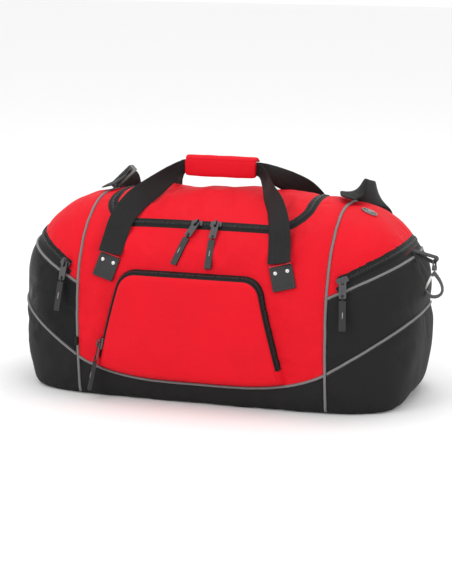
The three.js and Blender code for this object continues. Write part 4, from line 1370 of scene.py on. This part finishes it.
def make_grip_wrap():
    low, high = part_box("grip_wrap")
    section = rounded_section(low[1] - 0.5 * MM, high[1], low[2], high[2] + 0.3 * MM, 3.0)
    wrap = cushion("grip_wrap_pad", section, high[0] - low[0], 0.7 * MM)
    finish_piece(wrap, "front_handle", ("grip_wrap",))
    low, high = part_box("grip_wrap_flap")
    front, back = low[1] - 2.5 * MM, high[1] + 1 * MM
    section = rounded_section(front, back, low[2] - 0.1 * MM, high[2] + 0.9 * MM, 3.2)
    section[:, 1] -= 7 * MM * smoothstep((section[:, 0] - 4 * MM) / (14 * MM))
    section[:, 1] -= 3.2 * MM * smoothstep((low[1] + 4 * MM - section[:, 0]) / (6.5 * MM))
    flap = cushion("grip_wrap_flap_pad", section, high[0] - low[0] + 2 * MM, 0.4 * MM)
    finish_piece(flap, "wrap_flap", ("grip_wrap_flap",))


# ---- the shoulder strap ----
STRAP_STOPS = [
    (-199, -14, 313, 1, 0, 0.25),
    (-200, 25, 316, 1, 0, 0.45),
    (-200, 62, 317, 0.8, 0, 0.8),
    (-203, 95, 307, 0.8, 0, 0.6),
    (-214, 132, 272, 1, 0, 0.1),
    (-218, 158, 220, 1, 0, 0),
    (-216, 166, 150, 1, 0, 0),
    (-190, 166, 95, 0.6, 0, 0.8),
    (-120, 165, 72, 0.1, 0, 1),
    (0, 165, 66, 0, 0, 1),
    (120, 165, 72, -0.1, 0, 1),
    (190, 166, 95, -0.6, 0, 0.8),
    (218, 166, 150, -1, 0, 0),
    (222, 158, 215, -1, 0, 0.1),
    (224, 132, 264, -0.9, 0, 0.5),
    (225, 100, 297, -0.5, -0.2, 0.9),
    (222, 72, 309, -0.1, 0, 1),
    (214, 50, 315, 0.1, 0, 1),
    (205, 33, 321, 0.5, 0.2, 0.7),
    (200, 8, 318, 0.95, 0.1, -0.1),
    (199, -14, 314, 1, 0, -0.25),
]
STRAP_GATHERED = 24  # width of the strap where it is gathered into the seams


def make_shoulder_strap():
    widths = np.full(len(STRAP_STOPS), WEBBING / MM)
    widths[[0, -1]] = STRAP_GATHERED
    stops = np.column_stack([STRAP_STOPS, widths])
    strap("shoulder_strap_webbing", stops, 420, lambda width: 0, "root", "shoulder_strap")


# ---- small fittings ----
def dress(node, material, bevel=0.0, segments=3):
    """A CAD node keeps its shape: it gets its material, and rounded edges where bevel is given."""
    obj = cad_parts[node]
    obj.data.materials.clear()
    obj.data.materials.append(material)
    if bevel:
        edge = obj.modifiers.new("edges", "BEVEL")
        edge.width = bevel
        edge.segments = segments
        edge.limit_method = "ANGLE"
        edge.angle_limit = math.radians(35)
        edge.harden_normals = True
    return obj


PULLS = ("main_zip_left", "main_zip_right", "front_pocket", "end_zip_left", "end_zip_right")


def dress_fittings():
    for name in PULLS:
        dress(f"{name}_slider", gunmetal, 0.5 * MM)
        dress(f"{name}_pull_tab", gunmetal, 0.25 * MM, 2)
        dress(f"{name}_grip", rubber, 0.7 * MM)
    dress("strap_slide", buckle_plastic, 0.8 * MM)
    dress("clip_swivel", gunmetal, 0.6 * MM)
    dress("clip_hook", gunmetal, 1.6 * MM, 4)
    dress("clip_gate", nickel, 0.9 * MM)
    dress("clip_loop", loop_cloth, 0.5 * MM)
    dress("base_board", board_plastic, 1.0 * MM)


GRIP_BAR = (11 * MM, 1.8 * MM, 0.7 * MM)


def make_grip_bars():
    """A plain raised bar down the outer face of each grip."""
    for name in PULLS:
        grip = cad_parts[f"{name}_grip"]
        co = np.array([tuple(grip.matrix_world @ v.co) for v in grip.data.vertices])
        middle = (co.max(axis=0) + co.min(axis=0)) / 2
        down, across, out = np.linalg.svd(co - co.mean(axis=0), full_matrices=False)[2]
        out = out * np.sign(np.dot(out, middle * (1, 1, 0)))
        down = down * -np.sign(down[2])
        reach = ((co - middle) @ out).max()
        place = middle + down * 3 * MM + out * (reach - 0.2 * MM)
        obj = bars(f"{name}_grip_bar", [(place, down, across, out)], GRIP_BAR, pewter)
        finish_piece(obj, f"{name}_grip")


BADGE = {"x": 236 * MM, "y": -24 * MM, "long": 13 * MM, "short": 7.5 * MM}
# Each part of the badge as (share of its size, height in millimetres) of its rings.
BADGE_PARTS = {
    "rim": [(1.0, -1.5), (1.0, 1.6), (0.97, 2.2), (0.91, 2.4), (0.86, 2.1), (0.84, 1.4), (0.84, 0)],
    "field": [(0.85, 0.5), (0.85, 1.5), (0.7, 1.75), (0.4, 1.95), (0.1, 2.0)],
    "ridge": [(0.62, 1.2), (0.62, 2.3), (0.59, 2.5), (0.53, 2.5), (0.5, 2.3), (0.5, 1.2)],
    "boss": [(0.3, 1.2), (0.3, 2.4), (0.26, 2.7), (0.15, 2.9), (0.05, 2.95)],
}


def make_badge(surface):
    place = surface.hit((BADGE["x"], BADGE["y"], 0.12), (0, 0, 1))
    normal = surface.lay(place)[1]
    matrix = facing(place + normal * 0.2 * MM, normal, Vector((0, 1, 0)))
    for name, shape in BADGE_PARTS.items():
        rings = [oval(BADGE["long"] * share, BADGE["short"] * share, z * MM, 48) for share, z in shape]
        obj = rings_object(f"badge_{name}", rings, enamel if name == "field" else pewter)
        obj.matrix_world = matrix
        finish_piece(obj, "root", ("badge",))


def make_seam_tab(surface):
    """A small folded loop of webbing sewn into the left seam."""
    root = surface.hit((-SEAM - 1 * MM, 0, 90 * MM), (0, -1, 0))
    normal = np.array(surface.lay(root)[1])
    turns = np.linspace(0, math.pi, 17)[:, None]
    out = normal * (6.5 * MM * np.sin(turns) - 0.5 * MM)
    places = np.array(root) + out + X * 2.6 * MM * np.cos(turns)
    side = np.repeat([Z], len(places), axis=0)
    section = band_section(14 * MM, 1.2 * MM, 0, 6)
    obj = swept("seam_tab", places, side, np.cross(along(places), side), section, webbing)
    finish_piece(obj, "root")


def make_dividers():
    """The sheets between the main compartment and the end pockets."""
    rows, columns = 24, 21
    for side, sign in SIDES:
        x = sign * 206 * MM
        verts = []
        for z in np.linspace(8 * MM, 288 * MM, rows):
            half = float(wall_depth(x, z)) - 6 * MM
            for y in np.linspace(-half, half, columns):
                wave = 1.6 * MM * noise.noise(Vector((4, y * 12, z * 12)))
                verts.append((x + sign * wave, y, z))
        obj = make_object(f"divider_{side}", verts, grid_faces(rows, columns), lining)
        add_uv(obj, [(y, z) for _, y, z in verts])
        finish_piece(obj, "root")


# ---- floor, light and camera ----
FLOOR = 9.0  # half the floor's width
# Name, place, width and power of each lamp.
LAMPS = (
    ("key", (-1.3, -2.2, 2.3), 1.3, 18),
    ("fill", (2.4, -1.6, 1.2), 1.4, 5),
    ("top", (0.2, 0.6, 2.6), 1.4, 16),
)
LAMPS_AIM = Vector((0, 0, 0.15))
# The camera's turn and rise in degrees, its distance and its lens in millimetres.
VIEW_TURN, VIEW_RISE, VIEW_DISTANCE, VIEW_LENS = 17.5, 12.5, 3.0, 115


def make_stage():
    bpy.context.scene.view_settings.view_transform = "Standard"
    corners = [(-FLOOR, -FLOOR, 0), (FLOOR, -FLOOR, 0), (FLOOR, FLOOR, 0), (-FLOOR, FLOOR, 0)]
    floor = make_object("floor", corners, [(0, 1, 2, 3)], floor_finish())
    world = bpy.data.worlds.new("studio")
    world.use_nodes = True
    world.node_tree.nodes["Background"].inputs["Color"].default_value = (1, 1, 1, 1)
    world.node_tree.nodes["Background"].inputs["Strength"].default_value = 1.0
    bpy.context.scene.world = world
    for name, place, size, power in LAMPS:
        light = bpy.data.lights.new(name, "AREA")
        light.size = size
        light.energy = power
        lamp = bpy.data.objects.new(name, light)
        lamp.location = place
        lamp.rotation_mode = "QUATERNION"
        lamp.rotation_quaternion = (Vector(place) - LAMPS_AIM).to_track_quat("Z", "Y")
        bpy.context.scene.collection.objects.link(lamp)


def floor_finish():
    n = Nodes("floor", (0.93, 0.93, 0.93), 0.9)
    n.vary_roughness(n.grain(3), 0.85, 0.95)
    return n.material


def make_camera():
    turn, rise = math.radians(VIEW_TURN), math.radians(VIEW_RISE)
    back = Vector((math.sin(turn) * math.cos(rise), -math.cos(turn) * math.cos(rise), math.sin(rise)))
    right = Vector((math.cos(turn), math.sin(turn), 0))
    up = back.cross(right)
    aim = Vector((0, 0, 0.150)) - right * 0.0032 - up * 0.0016
    data = bpy.data.cameras.new("camera")
    data.lens = VIEW_LENS
    camera = bpy.data.objects.new("camera", data)
    camera.location = aim + back * VIEW_DISTANCE
    camera.rotation_mode = "QUATERNION"
    camera.rotation_quaternion = back.to_track_quat("Z", "Y")
    bpy.context.scene.collection.objects.link(camera)
    bpy.context.scene.camera = camera


skin_mesh, skin_start = shaped_skin()
surface = Surface(skin_mesh)
make_skin_pieces(split_skin(skin_mesh, skin_start))
make_piping(surface)
make_stitching(surface)
make_main_zip(surface)
make_end_zips(surface)
make_pocket_gusset(make_pocket_panel())
make_handles()
make_patches()
make_grip_wrap()
make_shoulder_strap()
dress_fittings()
make_grip_bars()
make_badge(surface)
make_seam_tab(surface)
make_dividers()
make_stage()
make_camera()
